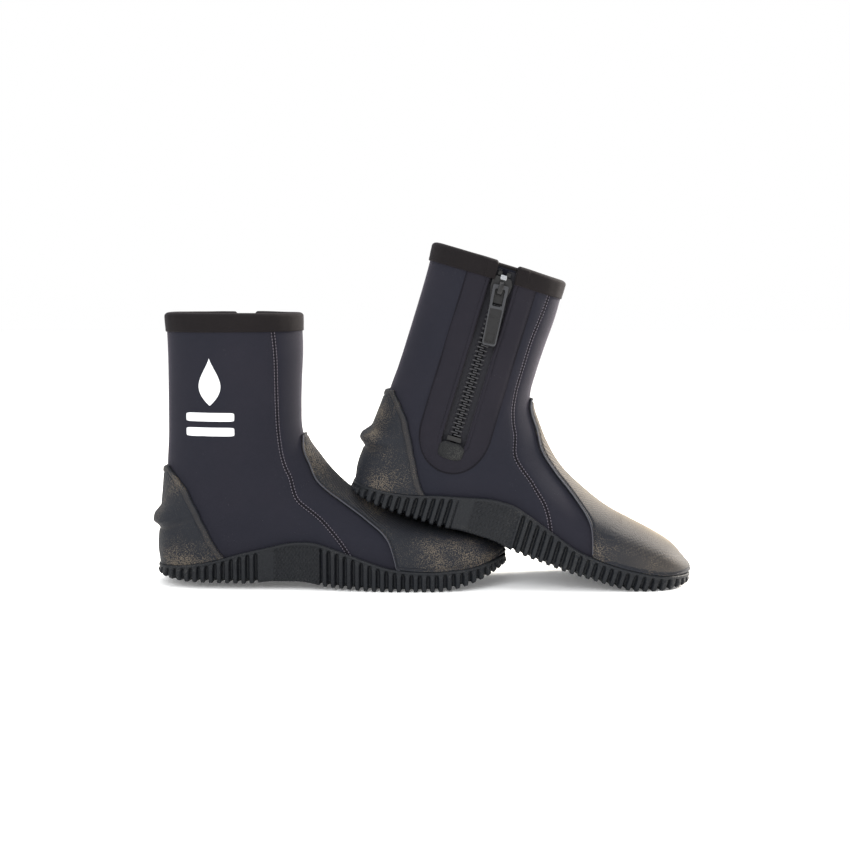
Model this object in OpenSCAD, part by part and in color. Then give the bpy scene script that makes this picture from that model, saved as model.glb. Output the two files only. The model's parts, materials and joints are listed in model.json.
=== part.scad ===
// Pair of zipped neoprene water-sports boots.
// The right boot stands flat and the left boot leans over it, heel on the right boot's toe cap.
// Each boot is drawn once in its own frame, as a right boot: +X to the toe, +Z up, -Y to the
// outer (lateral) side, x = 0 at the back of the heel and z = 0 under the sole.

/* [Pair] */
// Nose-down pitch of the left boot, degrees
left_pitch = 16.8; // [16.8:0.05:18]
// How far the left boot sits in front of the right one
left_reach = 158; // [157:0.5:160]
// Height of the left boot's own origin, under its heel, above the floor
left_lift = 70.35; // [70:0.05:75]

/* [Shaft] */
// Height of the collar above the floor
boot_h = 225; // [218:1:232]
// Distance from the heel's back to the front of the collar
collar_x = 122; // [118:1:126]
// Half width of the outer side of the shaft
shaft_lat = 36; // [34:0.5:38]
// Half width of the inner side of the shaft, level with the zip
shaft_med = 36; // [34:0.5:38]

/* [Neoprene] */
// Thickness of the neoprene panels
neo_t = 4; // [3:0.5:4.5]
// Gap left for the flat seam between two panels, in degrees round the section
seam_gap = 0.4; // [0.2:0.1:0.8]
// Height of the binding round the collar
binding_h = 16; // [12:1:18]

/* [Rubber] */
// Thickness of the toe and heel caps
cap_t = 2.2; // [1.5:0.1:2.6]
// How far the fin strap ledge stands out of the heel cap
ledge_t = 2.6; // [1:0.1:3.2]
// Thickness of the outsole's side wall
wall_t = 4; // [3:0.5:5]

/* [Zip] */
// Distance of the zip's centre line from the heel's back
zip_x = 71.5; // [70:0.5:73]
// Number of teeth in each row
teeth = 34; // [20:1:34]
// Distance between two teeth of a row
pitch = 3.8; // [3.8:0.1:3.8]
// Length of the pull tab
pull_l = 47; // [40:1:52]
// Sideways lean of the left pull tab in its loose loop, degrees
left_lean = 5; // [0:1:6]

/* [Hidden] */
PARTS = ["outsole", "midsole", "insole", "lateral_panel", "medial_panel", "front_panel",
         "zip_panel", "toe_cap", "heel_cap", "collar_binding", "zip_gusset", "zip_tape_front",
         "zip_tape_rear", "zip_teeth_front", "zip_teeth_rear", "top_stops", "bottom_stop",
         "zip_end_patch", "slider_body", "pull_tab", "print_mark"];
NODES = [for (side = ["right", "left"]) for (part = PARTS) str(side, "_", part)];
node = "all";

// the pair's own box is centred on the origin
pair_shift = -222.27;

// ---- the surface of the upper ----
// A fan of sections, numbered by u: u = 0 is the collar and u = 15 the tip of the toe.
// Each row: back point x, z; front point x, z; half width outside, inside; squareness of the sole side
stations = [
    [ 10,   boot_h,       collar_x,       boot_h,       37, 36, 2.0],
    [ 11,   boot_h - 32,  collar_x + 1,   boot_h - 30,  37, 36, 2.0],
    [ 11,   boot_h - 66,  collar_x,       boot_h - 56,  shaft_lat, shaft_med, 2.0],
    [ 10.5, 123,          collar_x - 0.5, 146,          shaft_lat, shaft_med, 2.0],
    [ 8.5,   87,          122,            131,          shaft_lat, shaft_med, 2.1],
    [ 5.5,   52,          125.5,          118,          shaft_lat, shaft_med, 2.4],
    [ 5,     25,          134.5,          105,          36.5, 36,  3.0],
    [ 16,     4,          146,             91,          37.5, 36.5, 3.5],
    [ 72,     2,          164,             75,          40,   38,   4.0],
    [122,     2,          187,             63,          44,   40,   4.0],
    [170,     2,          210,             54,          48,   43,   4.0],
    [211,     2,          234,             48.5,        49.5, 45,   4.0],
    [243,     4,          255,             44.5,        47,   45,   4.0],
    [267,     9,          271.5,           40,          38.5, 41,   3.6],
    [282,    16,          283,             33.5,        24,   29,   3.0],
    [290,    23,          290.5,           28.5,         8,   11,   2.5]];
last_u = len(stations) - 1;
n_top = 2.1;     // roundness of the instep side of a section

// Where things lie on it: [u, angle] pairs, the angle counted from the front of the section
seam_lat = [[0, 42], [1.7, 37], [3, 35], [4.8, 29], [6.4, 28], [7.2, 35], [7.75, 44],
            [8.5, 66], [9.05, 85], [9.5, 101], [10.1, 128], [16, 180]];
seam_med = [[0, 25], [1.75, 30.5], [3.4, 28.5], [4.9, 24.5], [6.4, 23.5], [7.5, 33], [8.4, 54],
            [8.9, 69], [9.3, 88], [9.6, 103], [10.2, 130], [16, 180]];
toe_lat = [[4.5, 7], [4.8, 10], [5.25, 13], [6.4, 15], [7.4, 19], [8.4, 31], [9.2, 52],
           [9.9, 72], [10.3, 88], [10.5, 100], [10.9, 125], [11.4, 150], [16, 180]];
toe_med = [[4.5, 6], [4.8, 8.5], [5.3, 9], [6.4, 8], [7.6, 15], [8.1, 19.5], [8.8, 30],
           [9.7, 59], [10.3, 83], [10.65, 102], [11, 125], [11.5, 150], [16, 180]];
heel_edge = [[3.72, 166], [3.92, 156], [4.5, 141], [5.3, 131.5], [6.1, 127.5], [6.8, 126.5],
             [7.3, 132], [8, 142]];
toe_top = 4.5;      // u of the toe cap's upper edge
heel_top = 3.72;    // u of the heel cap's upper edge

// heights along the sole: top of the side wall, underside, and lower edge of the panels
rim_z = [[0, 16], [33, 19], [51, 22], [74, 29], [94, 33.5], [114, 38.5], [134, 39], [154, 32.5],
         [174, 25.5], [194, 18.5], [214, 16], [234, 15.5], [262, 18], [280, 23], [296, 27]];
under_z = [[0, 13], [6, 10], [14, 7.5], [24, 6], [34, 5.2], [86, 4.8], [94, 7], [128, 7],
           [139, 3.8], [150, 2.6], [167, 1.3], [190, 0], [236, 0], [250, 2], [264, 6.5],
           [278, 12.5], [292, 20]];
floor_z = [[0, 10], [128, 10], [145, 8], [167, 6.5], [195, 5], [236, 5], [250, 7], [264, 11],
           [278, 16], [292, 22.5]];
panel_z = [[0, 13.5], [139, 13], [167, 11.5], [195, 10], [236, 10], [250, 11.5], [264, 15],
           [278, 19.5], [292, 24.6]];

function catmull(a, b, c, d, f) =
    0.5 * (2*b + (c - a)*f + (2*a - 5*b + 4*c - d)*f*f + (3*b - a - 3*c + d)*f*f*f);
function section(u) =
    let (s = min(max(u, 0), last_u - 0.0001), i = floor(s), f = s - i,
         b = stations[i], c = stations[i + 1],
         a = i > 0 ? stations[i - 1] : 2*b - c,
         d = i + 2 <= last_u ? stations[i + 2] : 2*c - b)
    catmull(a, b, c, d, f);
// a point of section s at angle v: 0 front, 90 outer side, 180 back, -90 inner side
function ring(s, v) =
    let (back = [s[0], s[1]], front = [s[2], s[3]], mid = (back + front) / 2,
         half = norm(front - back) / 2, dir = (front - back) / (2 * half),
         c = cos(v), w = sin(v) >= 0 ? s[4] : s[5],
         k = (1 - c) / 2, n = n_top + (s[6] - n_top) * k * k * (3 - 2*k),
         r = pow(pow(abs(c) / half, n) + pow(abs(sin(v)) / w, n), -1 / n))
    [mid.x + dir.x * r * c, -r * sin(v), mid.y + dir.y * r * c];
function unit(p) = p / norm(p);
// the same point moved out of the surface by off
function skin(u, v, off) =
    let (h = 0.03, s = section(u), p = ring(s, v))
    off == 0 ? p :
    let (du = ring(section(min(u + h, last_u)), v) - ring(section(max(u - h, 0)), v),
         dv = ring(s, v + 1) - ring(s, v - 1))
    p + off * unit(cross(dv, du));

// angle at which section s has come back to x, on the side sg
function v_at_x(s, x, sg, lo = 0, hi = 180, k = 22) =
    let (m = (lo + hi) / 2)
    k == 0 ? m : ring(s, sg * m).x > x ? v_at_x(s, x, sg, m, hi, k - 1)
                                       : v_at_x(s, x, sg, lo, m, k - 1);
// the section that passes through x, z in the side view
function u_at(x, z, lo = 0, hi = last_u, k = 24) =
    let (m = (lo + hi) / 2, s = section(m),
         over = (s[2] - s[0]) * (z - s[1]) - (s[3] - s[1]) * (x - s[0]))
    k == 0 ? m : over < 0 ? u_at(x, z, m, hi, k - 1) : u_at(x, z, lo, m, k - 1);
// the point of the outer (sg = 1) or inner (sg = -1) side seen at x, z from that side
function side(x, z, sg, off = 0) =
    let (u = u_at(x, z), s = section(u), v = sg * v_at_x(s, x, sg)) skin(u, v, off);
// angle at which section u comes down to lift above the height that a table gives for its x
function v_low(u, table, sg, lift = 0, lo = 40, hi = 180, k = 20) =
    let (m = (lo + hi) / 2, p = ring(section(u), sg * m))
    k == 0 ? m : p.z > lookup(p.x, table) + lift ? v_low(u, table, sg, lift, m, hi, k - 1)
                                                 : v_low(u, table, sg, lift, lo, m, k - 1);
function steps(a, b, n) = [for (i = [0:n]) a + (b - a) * i / n];

// ---- closed solids from two grids of points, outer and inner ----
function quads(nr, nc, first, flip) =
    [for (i = [0:nr - 2]) for (j = [0:nc - 2])
        let (a = first + i*nc + j, b = a + 1, c = b + nc, d = a + nc)
        each flip ? [[a, b, c], [a, c, d]] : [[a, c, b], [a, d, c]]];
module sheet(outer, inner) {
    nr = len(outer);
    nc = len(outer[0]);
    n = nr * nc;
    last = (nr - 1) * nc;
    polyhedron(
        [for (r = outer) each r, for (r = inner) each r],
        [each quads(nr, nc, 0, false), each quads(nr, nc, n, true),
         for (j = [0:nc - 2]) each [[j, j + 1, j + 1 + n], [j, j + 1 + n, j + n]],
         for (j = [last:last + nc - 2]) each [[j + 1, j, j + n], [j + 1, j + n, j + 1 + n]],
         for (j = [0:nc:last - nc]) each [[j + nc, j, j + n], [j + nc, j + n, j + nc + n]],
         for (j = [nc - 1:nc:last - 1])
             each [[j, j + nc, j + nc + n], [j, j + nc + n, j + n]]]);
}
// rows is a list of [u, from angle, to angle]; the solid lies between two offsets
module panel(rows, n, top, bottom) {
    grid = [for (r = rows) [for (v = steps(r[1], r[2], n)) [r[0], v]]];
    sheet([for (r = grid) [for (q = r) skin(q[0], q[1], top)]],
          [for (r = grid) [for (q = r) skin(q[0], q[1], bottom)]]);
}
// stacked closed loops of points, the first and last filled in; loops run the same way round
module stack(loops) {
    n = len(loops[0]);
    h = n / 2;
    m = (len(loops) - 1) * n;
    polyhedron(
        [for (l = loops) each l],
        [for (k = [0:len(loops) - 2]) for (j = [0:n - 1])
             let (a = k*n + j, b = k*n + (j + 1) % n) each [[a, a + n, b + n], [a, b + n, b]],
         for (j = [0:h - 2])
             each [[j, j + 1, n - 2 - j], [j, n - 2 - j, n - 1 - j]],
         for (j = [0:h - 2])
             each [[m + j, m + n - 2 - j, m + j + 1], [m + j, m + n - 1 - j, m + n - 2 - j]]]);
}

// ---- neoprene panels ----
panel_top = 0.12;    // u of the panels' upper edge, inside the binding
function low(u, sg) = min(v_low(u, panel_z, sg), 179.7);
// the seam's gap, wider where the foot's rows are further apart
function seam_off(u) = seam_gap * (u > 7.5 ? 2.5 : 1);
// below the sole's rim the neoprene is tucked in behind the side wall
function tucked(p) =
    let (sg = p.y < 0 ? 1 : -1, z = lookup(p.x, rim_z))
    p.z > z + 3 || p.x < 60 || p.x > 200 ? p :
    let (edge = abs(side(p.x, z, sg).y) - tuck * min(max((z + 3 - p.z) / 3, 0), 1))
    [p.x, -sg * min(abs(p.y), edge), p.z];
tuck = 0.5;

function cap_from(u) = -min(lookup(u, toe_med), v_low(u, rim_z, -1, cap_clear));
function cap_to(u) = min(lookup(u, toe_lat), v_low(u, rim_z, 1, cap_clear));
foot_us = [each steps(6.4, 10.4, 10), each steps(10.9, 13.5, 6)];   // rows the two share
cap_cols = 12;       // columns of the toe cap
lat_cols = 3;        // columns of the front panel outside the cap
med_cols = 2;        // and inside it
// angles across the front panel; on the foot its middle columns lie under the toe cap's own
function front_angles(u) =
    let (a = -min(lookup(u, seam_med), low(u, -1)) + seam_off(u),
         b = min(lookup(u, seam_lat), low(u, 1)) - seam_off(u),
         n = med_cols + cap_cols + lat_cols, k = min(max((u - 5) / 1.4, 0), 1),
         plain = steps(a, b, n),
         mid = steps(cap_from(u), cap_to(u), cap_cols),
         under = [for (i = [0:med_cols - 1]) a + (mid[0] - a) * i / med_cols, each mid,
                  for (i = [1:lat_cols]) mid[cap_cols] + (b - mid[cap_cols]) * i / lat_cols])
    plain + (under - plain) * k;
module front_panel() color("#3a3b4a") {
    grid = [for (u = [each steps(panel_top, 6, 11), each foot_us])
        [for (v = front_angles(u)) [u, v]]];
    sheet([for (r = grid) [for (q = r) skin(q[0], q[1], 0)]],
          [for (r = grid) [for (q = r) skin(q[0], q[1], -neo_t)]]);
}

lat_end = 9.62;      // u where the outer panel runs out at the sole
module lateral_panel() color("#2f3142") {
    rows = [for (u = [each steps(panel_top, 5.6, 10), each steps(6, 7.2, 5),
                      each steps(7.6, lat_end, 6)])
        [u, lookup(u, seam_lat) + seam_off(u), low(u, 1)]];
    grid = [for (r = rows) [for (v = steps(r[1], r[2], 14)) [r[0], v]]];
    sheet([for (r = grid) [for (q = r) tucked(skin(q[0], q[1], 0))]],
          [for (r = grid) [for (q = r) skin(q[0], q[1], -neo_t)]]);
}

// The zip's panel is a U: two legs and a round bottom, let into the inner panel. u_root gives the x
// where section s meets the U's line on the side sg, and whether it meets it at all.
u_half = 29;         // half width of the U
u_mid = 71;          // its centre line
u_round = 83;        // height where its bottom begins to round
u_deep = 35;         // depth of the round bottom
function u_root(s, sg, half, deep) =
    let (m = (s[3] - s[1]) / (s[2] - s[0]), z0 = s[1] + m * (u_mid - s[0]),
         leg_z = z0 + sg * m * half,
         a = 1 / (half * half) + m*m / (deep * deep), b = 2 * m * (z0 - u_round) / (deep * deep),
         c = pow((z0 - u_round) / deep, 2) - 1, disc = b*b - 4*a*c)
    [leg_z >= u_round ? u_mid + sg * half : u_mid + (-b + sg * sqrt(max(disc, 0))) / (2*a), disc];
// the section that just touches the U's bottom
function u_touch(lo = 5, hi = 8, k = 24) =
    let (m = (lo + hi) / 2)
    k == 0 ? m : u_root(section(m), 1, u_half + 0.4, u_deep + 0.4)[1] > 0
        ? u_touch(m, hi, k - 1) : u_touch(lo, m, k - 1);

// angles of the inner panel's columns in section u: from the sole up to the zip, and on to the front
function medial_angles(u, touch, back_n, front_n) =
    let (s = section(u),
         rear = v_at_x(s, u_root(s, -1, u_half + 0.4, u_deep + 0.4)[0], -1),
         fore = v_at_x(s, u_root(s, 1, u_half + 0.4, u_deep + 0.4)[0], -1),
         bottom = low(u, -1), seam = lookup(u, seam_med) + seam_off(u),
         r = min(u >= touch ? (rear + fore) / 2 : rear, bottom - 3),
         f = u >= touch ? r : fore)
    [each steps(-bottom, -r, back_n), each steps(-min(f, bottom - 3), -seam, front_n)];
med_back_n = 7;      // columns behind the zip
med_front_n = 4;     // columns in front of it
med_open = 14;       // rows that the U parts in two
// number of a point in the inner panel's grid; below the U its two edges are one column
function med_id(i, j, nc) =
    i*nc + (j == med_back_n + 1 && i >= med_open ? med_back_n : j);
module medial_panel() color("#2f3142") {
    touch = u_touch();
    us = [for (i = [0:med_open - 1])
              panel_top + (touch - panel_top) * sin(90 * i / med_open),
          touch, each steps(touch + 0.25, 9.9, 9)];
    nc = med_back_n + med_front_n + 2;
    nr = len(us);
    grid = [for (u = us) [for (v = medial_angles(u, touch, med_back_n, med_front_n)) [u, v]]];
    n = nr * nc;
    gap = med_back_n;
    cells = [for (i = [0:nr - 2]) for (j = [0:nc - 2]) if (j != gap) [i, j]];
    polyhedron(
        [for (r = grid) for (q = r) tucked(skin(q[0], q[1], 0)),
         for (r = grid) for (q = r) skin(q[0], q[1], -neo_t)],
        [for (c = cells)
             let (p = med_id(c[0], c[1], nc), q = med_id(c[0], c[1] + 1, nc),
                  r = med_id(c[0] + 1, c[1] + 1, nc), s = med_id(c[0] + 1, c[1], nc))
             each [[p, r, q], [p, s, r], [p + n, q + n, r + n], [p + n, r + n, s + n]],
         for (j = [0:nc - 2]) if (j != gap)
             let (p = med_id(0, j, nc), q = med_id(0, j + 1, nc),
                  r = med_id(nr - 1, j, nc), s = med_id(nr - 1, j + 1, nc))
             each [[p, q, q + n], [p, q + n, p + n], [s, r, r + n], [s, r + n, s + n]],
         for (i = [0:nr - 2])
             let (p = med_id(i, 0, nc), q = med_id(i + 1, 0, nc),
                  r = med_id(i, nc - 1, nc), s = med_id(i + 1, nc - 1, nc))
             each [[q, p, p + n], [q, p + n, q + n], [r, s, s + n], [r, s + n, r + n]],
         for (i = [0:med_open - 1])
             let (p = med_id(i, gap, nc), q = med_id(i + 1, gap, nc),
                  r = med_id(i, gap + 1, nc), s = med_id(i + 1, gap + 1, nc))
             each [[p, q, q + n], [p, q + n, p + n], [s, r, r + n], [s, r + n, s + n]]]);
}

leg_top = boot_h - 3.6;     // height of the U's legs, inside the binding
slot_half = 10.2;           // half width of the slot that the zip lies in
slot_round = 76;
slot_deep = 10;
zip_panel_t = 2.4;
// a point of a U: t is [side, height] on a leg and [0, angle] on the round bottom
function u_line(t, mid, half, top, deep) =
    t[0] == 0 ? [mid + half * cos(t[1]), top - deep * sin(t[1])] : [mid + t[0] * half, t[1]];
module zip_panel() color("#34364a") {
    // outline pairs down the front leg, round the bottom and up the rear leg
    ts = [for (z = steps(leg_top, u_round + 4, 8)) [1, z],
          for (a = steps(0, 180, 16)) [0, a],
          for (z = steps(u_round + 4, leg_top, 8)) [-1, z]];
    grid = [for (t = ts) [for (k = steps(0, 1, 3))
        (1 - k) * u_line(t, zip_x, slot_half, slot_round, slot_deep)
            + k * u_line(t, u_mid, u_half, u_round, u_deep)]];
    sheet([for (r = grid) [for (q = r) side(q[0], q[1], -1, 0)]],
          [for (r = grid) [for (q = r) side(q[0], q[1], -1, -zip_panel_t)]]);
}

// ---- collar binding: a folded tape over the panels' upper edge ----
gap_front = 80.3;      // x of the binding's end in front of the zip
gap_rear = 64.5;       // and behind it
module collar_binding() color("#1f1c1f") {
    s = section(0);
    from = -v_at_x(s, gap_front, -1);
    to = 360 - v_at_x(s, gap_rear, -1);
    low_u = binding_h / 32;
    fold = [[low_u, 0.45], [low_u, 1.4], [0.06, 1.5], [0, 0.4], [0, -5], [0.06, -6.6],
            [low_u, -6.6], [low_u, -5.6], [0.1, -5.4], [0.1, 0.35]];
    n = len(fold);
    vs = steps(from, to, 46);
    m = len(vs);
    polyhedron(
        [for (v = vs) for (q = fold) skin(q[0], v, q[1])],
        [for (i = [0:m - 2]) for (j = [0:n - 1])
             let (a = i*n + j, b = i*n + (j + 1) % n) each [[a, a + n, b + n], [a, b + n, b]],
         each fold_caps,
         for (f = fold_caps) (m - 1) * n * [1, 1, 1] + [f[2], f[1], f[0]]]);
}
// triangles that fill the fold's cross-section
fold_caps = [[0, 1, 2], [0, 2, 9], [9, 2, 3], [9, 3, 4], [9, 4, 8], [8, 4, 5], [8, 5, 6], [8, 6, 7]];

// ---- rubber caps ----
cap_off = 0.4;       // bond line between the toe cap and the neoprene
heel_off = 0.75;     // and under the heel cap
cap_clear = 1.3;     // height of the caps' lower edges above the outsole's rim
module toe_cap() color("#33363c") {
    rows = [for (u = [each steps(toe_top, 5.9, 4), each foot_us, each steps(13.95, 14.9, 3)])
        [u, cap_from(u), cap_to(u)]];
    panel(rows, cap_cols, cap_off + cap_t, cap_off);
}
// height of the fin strap's ledge, which crosses the back of the heel
function ledge(u, v) =
    u < 4.35 || u > 5.35 ? 0
        : ledge_t * pow(sin(180 * (u - 4.35)), 0.6) * max(0, 1 - abs(v - 180) / 40);
// column k of the heel cap, from -1 on the outer side to 1 on the inner side, at section u
function heel_v(u, k) = 180 + k * (180 - lookup(u, heel_edge));
function heel_u(k, lo = 5, hi = 8, n = 22) =
    let (m = (lo + hi) / 2, p = ring(section(m), heel_v(m, k)))
    n == 0 ? m : p.z > lookup(p.x, rim_z) + cap_clear ? heel_u(k, m, hi, n - 1)
                                                      : heel_u(k, lo, m, n - 1);
module heel_cap() color("#2f3238") {
    ends = [for (k = steps(-1, 1, 18)) [k, heel_u(k)]];
    grid = [for (t = [0, 0.08, 0.2, 0.26, 0.3, 0.38, 0.46, 0.54, 0.6, 0.66, 0.8, 0.9, 1])
        [for (e = ends) let (u = heel_top + (e[1] - heel_top) * t) [u, heel_v(u, e[0])]]];
    sheet([for (r = grid) [for (q = r) skin(q[0], q[1], heel_off + cap_t + ledge(q[0], q[1]))]],
          [for (r = grid) [for (q = r) skin(q[0], q[1], heel_off)]]);
}

// ---- sole unit ----
sole_n = 96;         // points round the sole
rim_back = 6.5;
rim_toe = 287.5;
// point i of a loop round the foot, seen from above
function lap_flat(i, n, back, toe) =
    let (a = 360 * (i + 0.5) / n, x = (back + toe) / 2 + (toe - back) / 2 * cos(a),
         sg = sin(a) > 0 ? 1 : -1)
    [x, side(x, lookup(x, rim_z), sg).y];
function moved(loop, off) =
    let (n = len(loop))
    [for (i = [0:n - 1])
        let (t = unit(loop[(i + 1) % n] - loop[(i + n - 1) % n])) loop[i] + off * [-t.y, t.x]];
function at_height(loop, table, dz) = [for (p = loop) [p.x, p.y, lookup(p.x, table) + dz]];

rim_loop = [for (i = [0:sole_n - 1]) lap_flat(i, sole_n, rim_back, rim_toe)];

module outsole() color("#2b2f33") {
    inside = moved(rim_loop, 0.4);
    outside = moved(rim_loop, wall_t);
    stack([at_height(inside, floor_z, 0),
           at_height(inside, rim_z, 0),
           at_height(moved(rim_loop, wall_t - 0.8), rim_z, 0.3),
           at_height(outside, rim_z, -1.5),
           at_height(outside, under_z, 2),
           at_height(moved(rim_loop, wall_t - 1.5), under_z, 0)]);
}
module midsole() color("#50545c") {
    loop = [for (i = [0:59]) lap_flat(i, 60, 11, 262)];
    stack([at_height(moved(loop, -1.2), panel_z, -0.8),
           at_height(moved(loop, -1.2), floor_z, 0.4)]);
}
insole_w = 0.76;     // the insole's width against the rim's
module insole() color("#6a6e78") {
    loop = [for (i = [0:59]) let (p = lap_flat(i, 60, 21, 252)) [p.x, insole_w * p.y]];
    stack([at_height(loop, panel_z, 2.2), at_height(loop, panel_z, -0.4)]);
}

// ---- zip ----
zip_y = shaft_med - 4.8;    // y of the tape's middle plane
tape_t = 0.8;
tape_in = 2.6;              // distance of a tape's inner edge from the centre line
tape_out = 11.8;
tape_low = 61;
tape_high = 219;
teeth_low = 79;
tooth_t = 4.6;              // how thick a tooth is, across the tape
tooth_h = 1.6;
tooth_reach = 1.8;          // how far a tooth passes the centre line
tooth_back = 4.8;
bead_w = 1.7;
slot_play = 0.1;

// a box centred on the zip's centre line in x, given by its limits
module slab(x0, x1, y0, y1, z0, z1) translate([zip_x + x0, y0, z0]) cube([x1 - x0, y1 - y0, z1 - z0]);
module tape(sg) color("#24242c")
    slab(min(sg * tape_in, sg * tape_out), max(sg * tape_in, sg * tape_out),
         zip_y - tape_t / 2, zip_y + tape_t / 2, tape_low, tape_high);
module zip_tape_front() tape(1);
module zip_tape_rear() tape(-1);
module tape_slot(sg)
    slab(min(sg * (tape_in - slot_play), sg * 20), max(sg * (tape_in - slot_play), sg * 20),
         zip_y - tape_t / 2 - slot_play, zip_y + tape_t / 2 + slot_play, 0, boot_h);
module tooth_row(sg, shift) color("#141417") difference() {
    union() {
        for (i = [0:teeth - 1])
            slab(sg > 0 ? -tooth_reach : -tooth_back, sg > 0 ? tooth_back : tooth_reach,
                 zip_y - tooth_t / 2, zip_y + tooth_t / 2,
                 teeth_low + i * pitch + shift, teeth_low + i * pitch + shift + tooth_h);
        slab(sg > 0 ? 2 : -2 - bead_w, sg > 0 ? 2 + bead_w : -2,
             zip_y - 1.1, zip_y + 1.1, teeth_low, teeth_low + teeth * pitch);
    }
    tape_slot(sg);
}
module zip_teeth_front() tooth_row(1, 0);
module zip_teeth_rear() tooth_row(-1, pitch / 2);
module top_stops() color("#141417") difference() {
    for (sg = [-1, 1])
        slab(min(sg * 1.9, sg * 5.2), max(sg * 1.9, sg * 5.2), zip_y - 2.2, zip_y + 2.2, 214, 217.2);
    tape_slot(1);
    tape_slot(-1);
}
module bottom_stop() color("#9aa0a6") difference() {
    slab(-5.8, 5.8, zip_y - 2.3, zip_y + 2.3, 74.4, 78.2);
    tape_slot(1);
    tape_slot(-1);
}
module side_strip(xs, zs, sg, top, bottom) {
    sheet([for (x = xs) [for (z = zs) side(x, z, sg, top)]],
          [for (x = xs) [for (z = zs) side(x, z, sg, bottom)]]);
}
module zip_end_patch() color("#3c4046")
    side_strip(steps(zip_x - 10.5, zip_x + 10.5, 4), steps(59.5, 73.5, 3), -1, 1.2, 0.3);
module zip_gusset() color("#26262e") {
    across = [-24, -15, -8, 0, 8, 15, 24];
    depth = [7, 8.4, 10.2, 10.6, 10.2, 8.4, 7];
    zs = steps(57, 220.5, 14);
    grid = [for (i = [0:6]) [for (z = zs)
        [zip_x + across[i], z, 7 + (depth[i] - 7) * min(max((z - 57) / 18, 0), 1)]]];
    sheet([for (r = grid) [for (q = r) side(q[0], q[1], -1, -q[2])]],
          [for (r = grid) [for (q = r) side(q[0], q[1], -1, -q[2] - 1)]]);
}

// ---- slider and its pull tab ----
slider_z = 202;           // height of the slider's middle with the zip closed
plate_y = zip_y + tooth_t / 2 + 0.3;      // underside of the outer plate
plate_t = 1.6;
hinge_y = shaft_med + 3;  // axis of the pull tab
hinge_z = slider_z + 2;
bar_r = 1;
pull_t = 2.4;

module shield(t) linear_extrude(t)
    polygon([[-7.4, 11], [7.4, 11], [8.4, 8], [8, 0], [6.2, -8], [5, -11],
             [-5, -11], [-6.2, -8], [-8, 0], [-8.4, 8]]);
// draws its child's flat outline in the x-z plane, rising to +y from the given y
module facing(y) translate([zip_x, y, slider_z]) rotate([90, 0, 0]) mirror([0, 0, 1]) children();
module slider_body() color("#17171a") {
    facing(plate_y) shield(plate_t);
    facing(zip_y - tooth_t / 2 - 0.3 - plate_t) shield(plate_t);
    slab(-1.6, 1.6, zip_y - tooth_t / 2 - 0.4, plate_y + 0.1, slider_z + 6.2, slider_z + 10.6);
    for (sg = [-1, 1])
        slab(sg > 0 ? 5.4 : -7, sg > 0 ? 7 : -5.4, plate_y - 1.1, plate_y + 0.1,
             slider_z - 7, slider_z + 9);
    // the crown, an arch along the zip that the pull tab's bar passes under
    difference() {
        slab(-2, 2, plate_y + plate_t - 0.1, hinge_y + 2.8, hinge_z - 6, hinge_z + 5);
        translate([zip_x, hinge_y, hinge_z]) rotate([0, 90, 0])
            cylinder(h = 10, r = bar_r + 0.35, center = true, $fn = 32);
        slab(-3, 3, plate_y + plate_t, hinge_y + 1.35, hinge_z - 3, hinge_z);
    }
}
module pull_tab(lean) color("#101012")
translate([zip_x, hinge_y, hinge_z]) rotate([0, -lean, 0]) {
    rotate([0, 90, 0]) cylinder(h = 11, r = bar_r, center = true, $fn = 32);
    difference() {
        // two legs hang from the bar, either side of the crown, and join below it
        rotate([90, 0, 0]) linear_extrude(pull_t, center = true) difference() {
            polygon([[-6.6, 2.2], [6.6, 2.2], [7, 1], [7, 2 - pull_l], [5, -pull_l],
                     [-5, -pull_l], [-7, 2 - pull_l], [-7, 1]]);
            translate([-4.5, -10]) square([9, 14]);
        }
        // a shallow recess near the free end
        translate([-3, 0.6, 6 - pull_l]) cube([6, 2, 9]);
    }
}

// ---- the printed mark on the outer side: a drop over two bars ----
function drop_half(t) = 0.4 + 10.5 * pow(sin(180 * pow(t, 1.45)), 0.9) * (1 - 0.25 * t);
module print_mark() color("#e8e9ec") {
    for (z = [125, 137])
        side_strip(steps(30, 70, 6), [z, z + 3.5, z + 7], 1, 0.4, 0.2);
    zs = steps(0, 1, 10);
    grid = [for (k = steps(-1, 1, 4))
        [for (t = zs) [50 + k * drop_half(1 - t), 150 + 38 * t]]];
    sheet([for (r = grid) [for (q = r) side(q[0], q[1], 1, 0.4)]],
          [for (r = grid) [for (q = r) side(q[0], q[1], 1, 0.2)]]);
}

// ---- placing the two boots ----
module place(side) {
    if (side == "right") translate([pair_shift, 0, 0]) children();
    else translate([pair_shift + left_reach, 0, left_lift])
        rotate([0, left_pitch, 0]) mirror([0, 1, 0]) children();
}
function shown(side, part) = node == "all" || node == str(side, "_", part);

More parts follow.
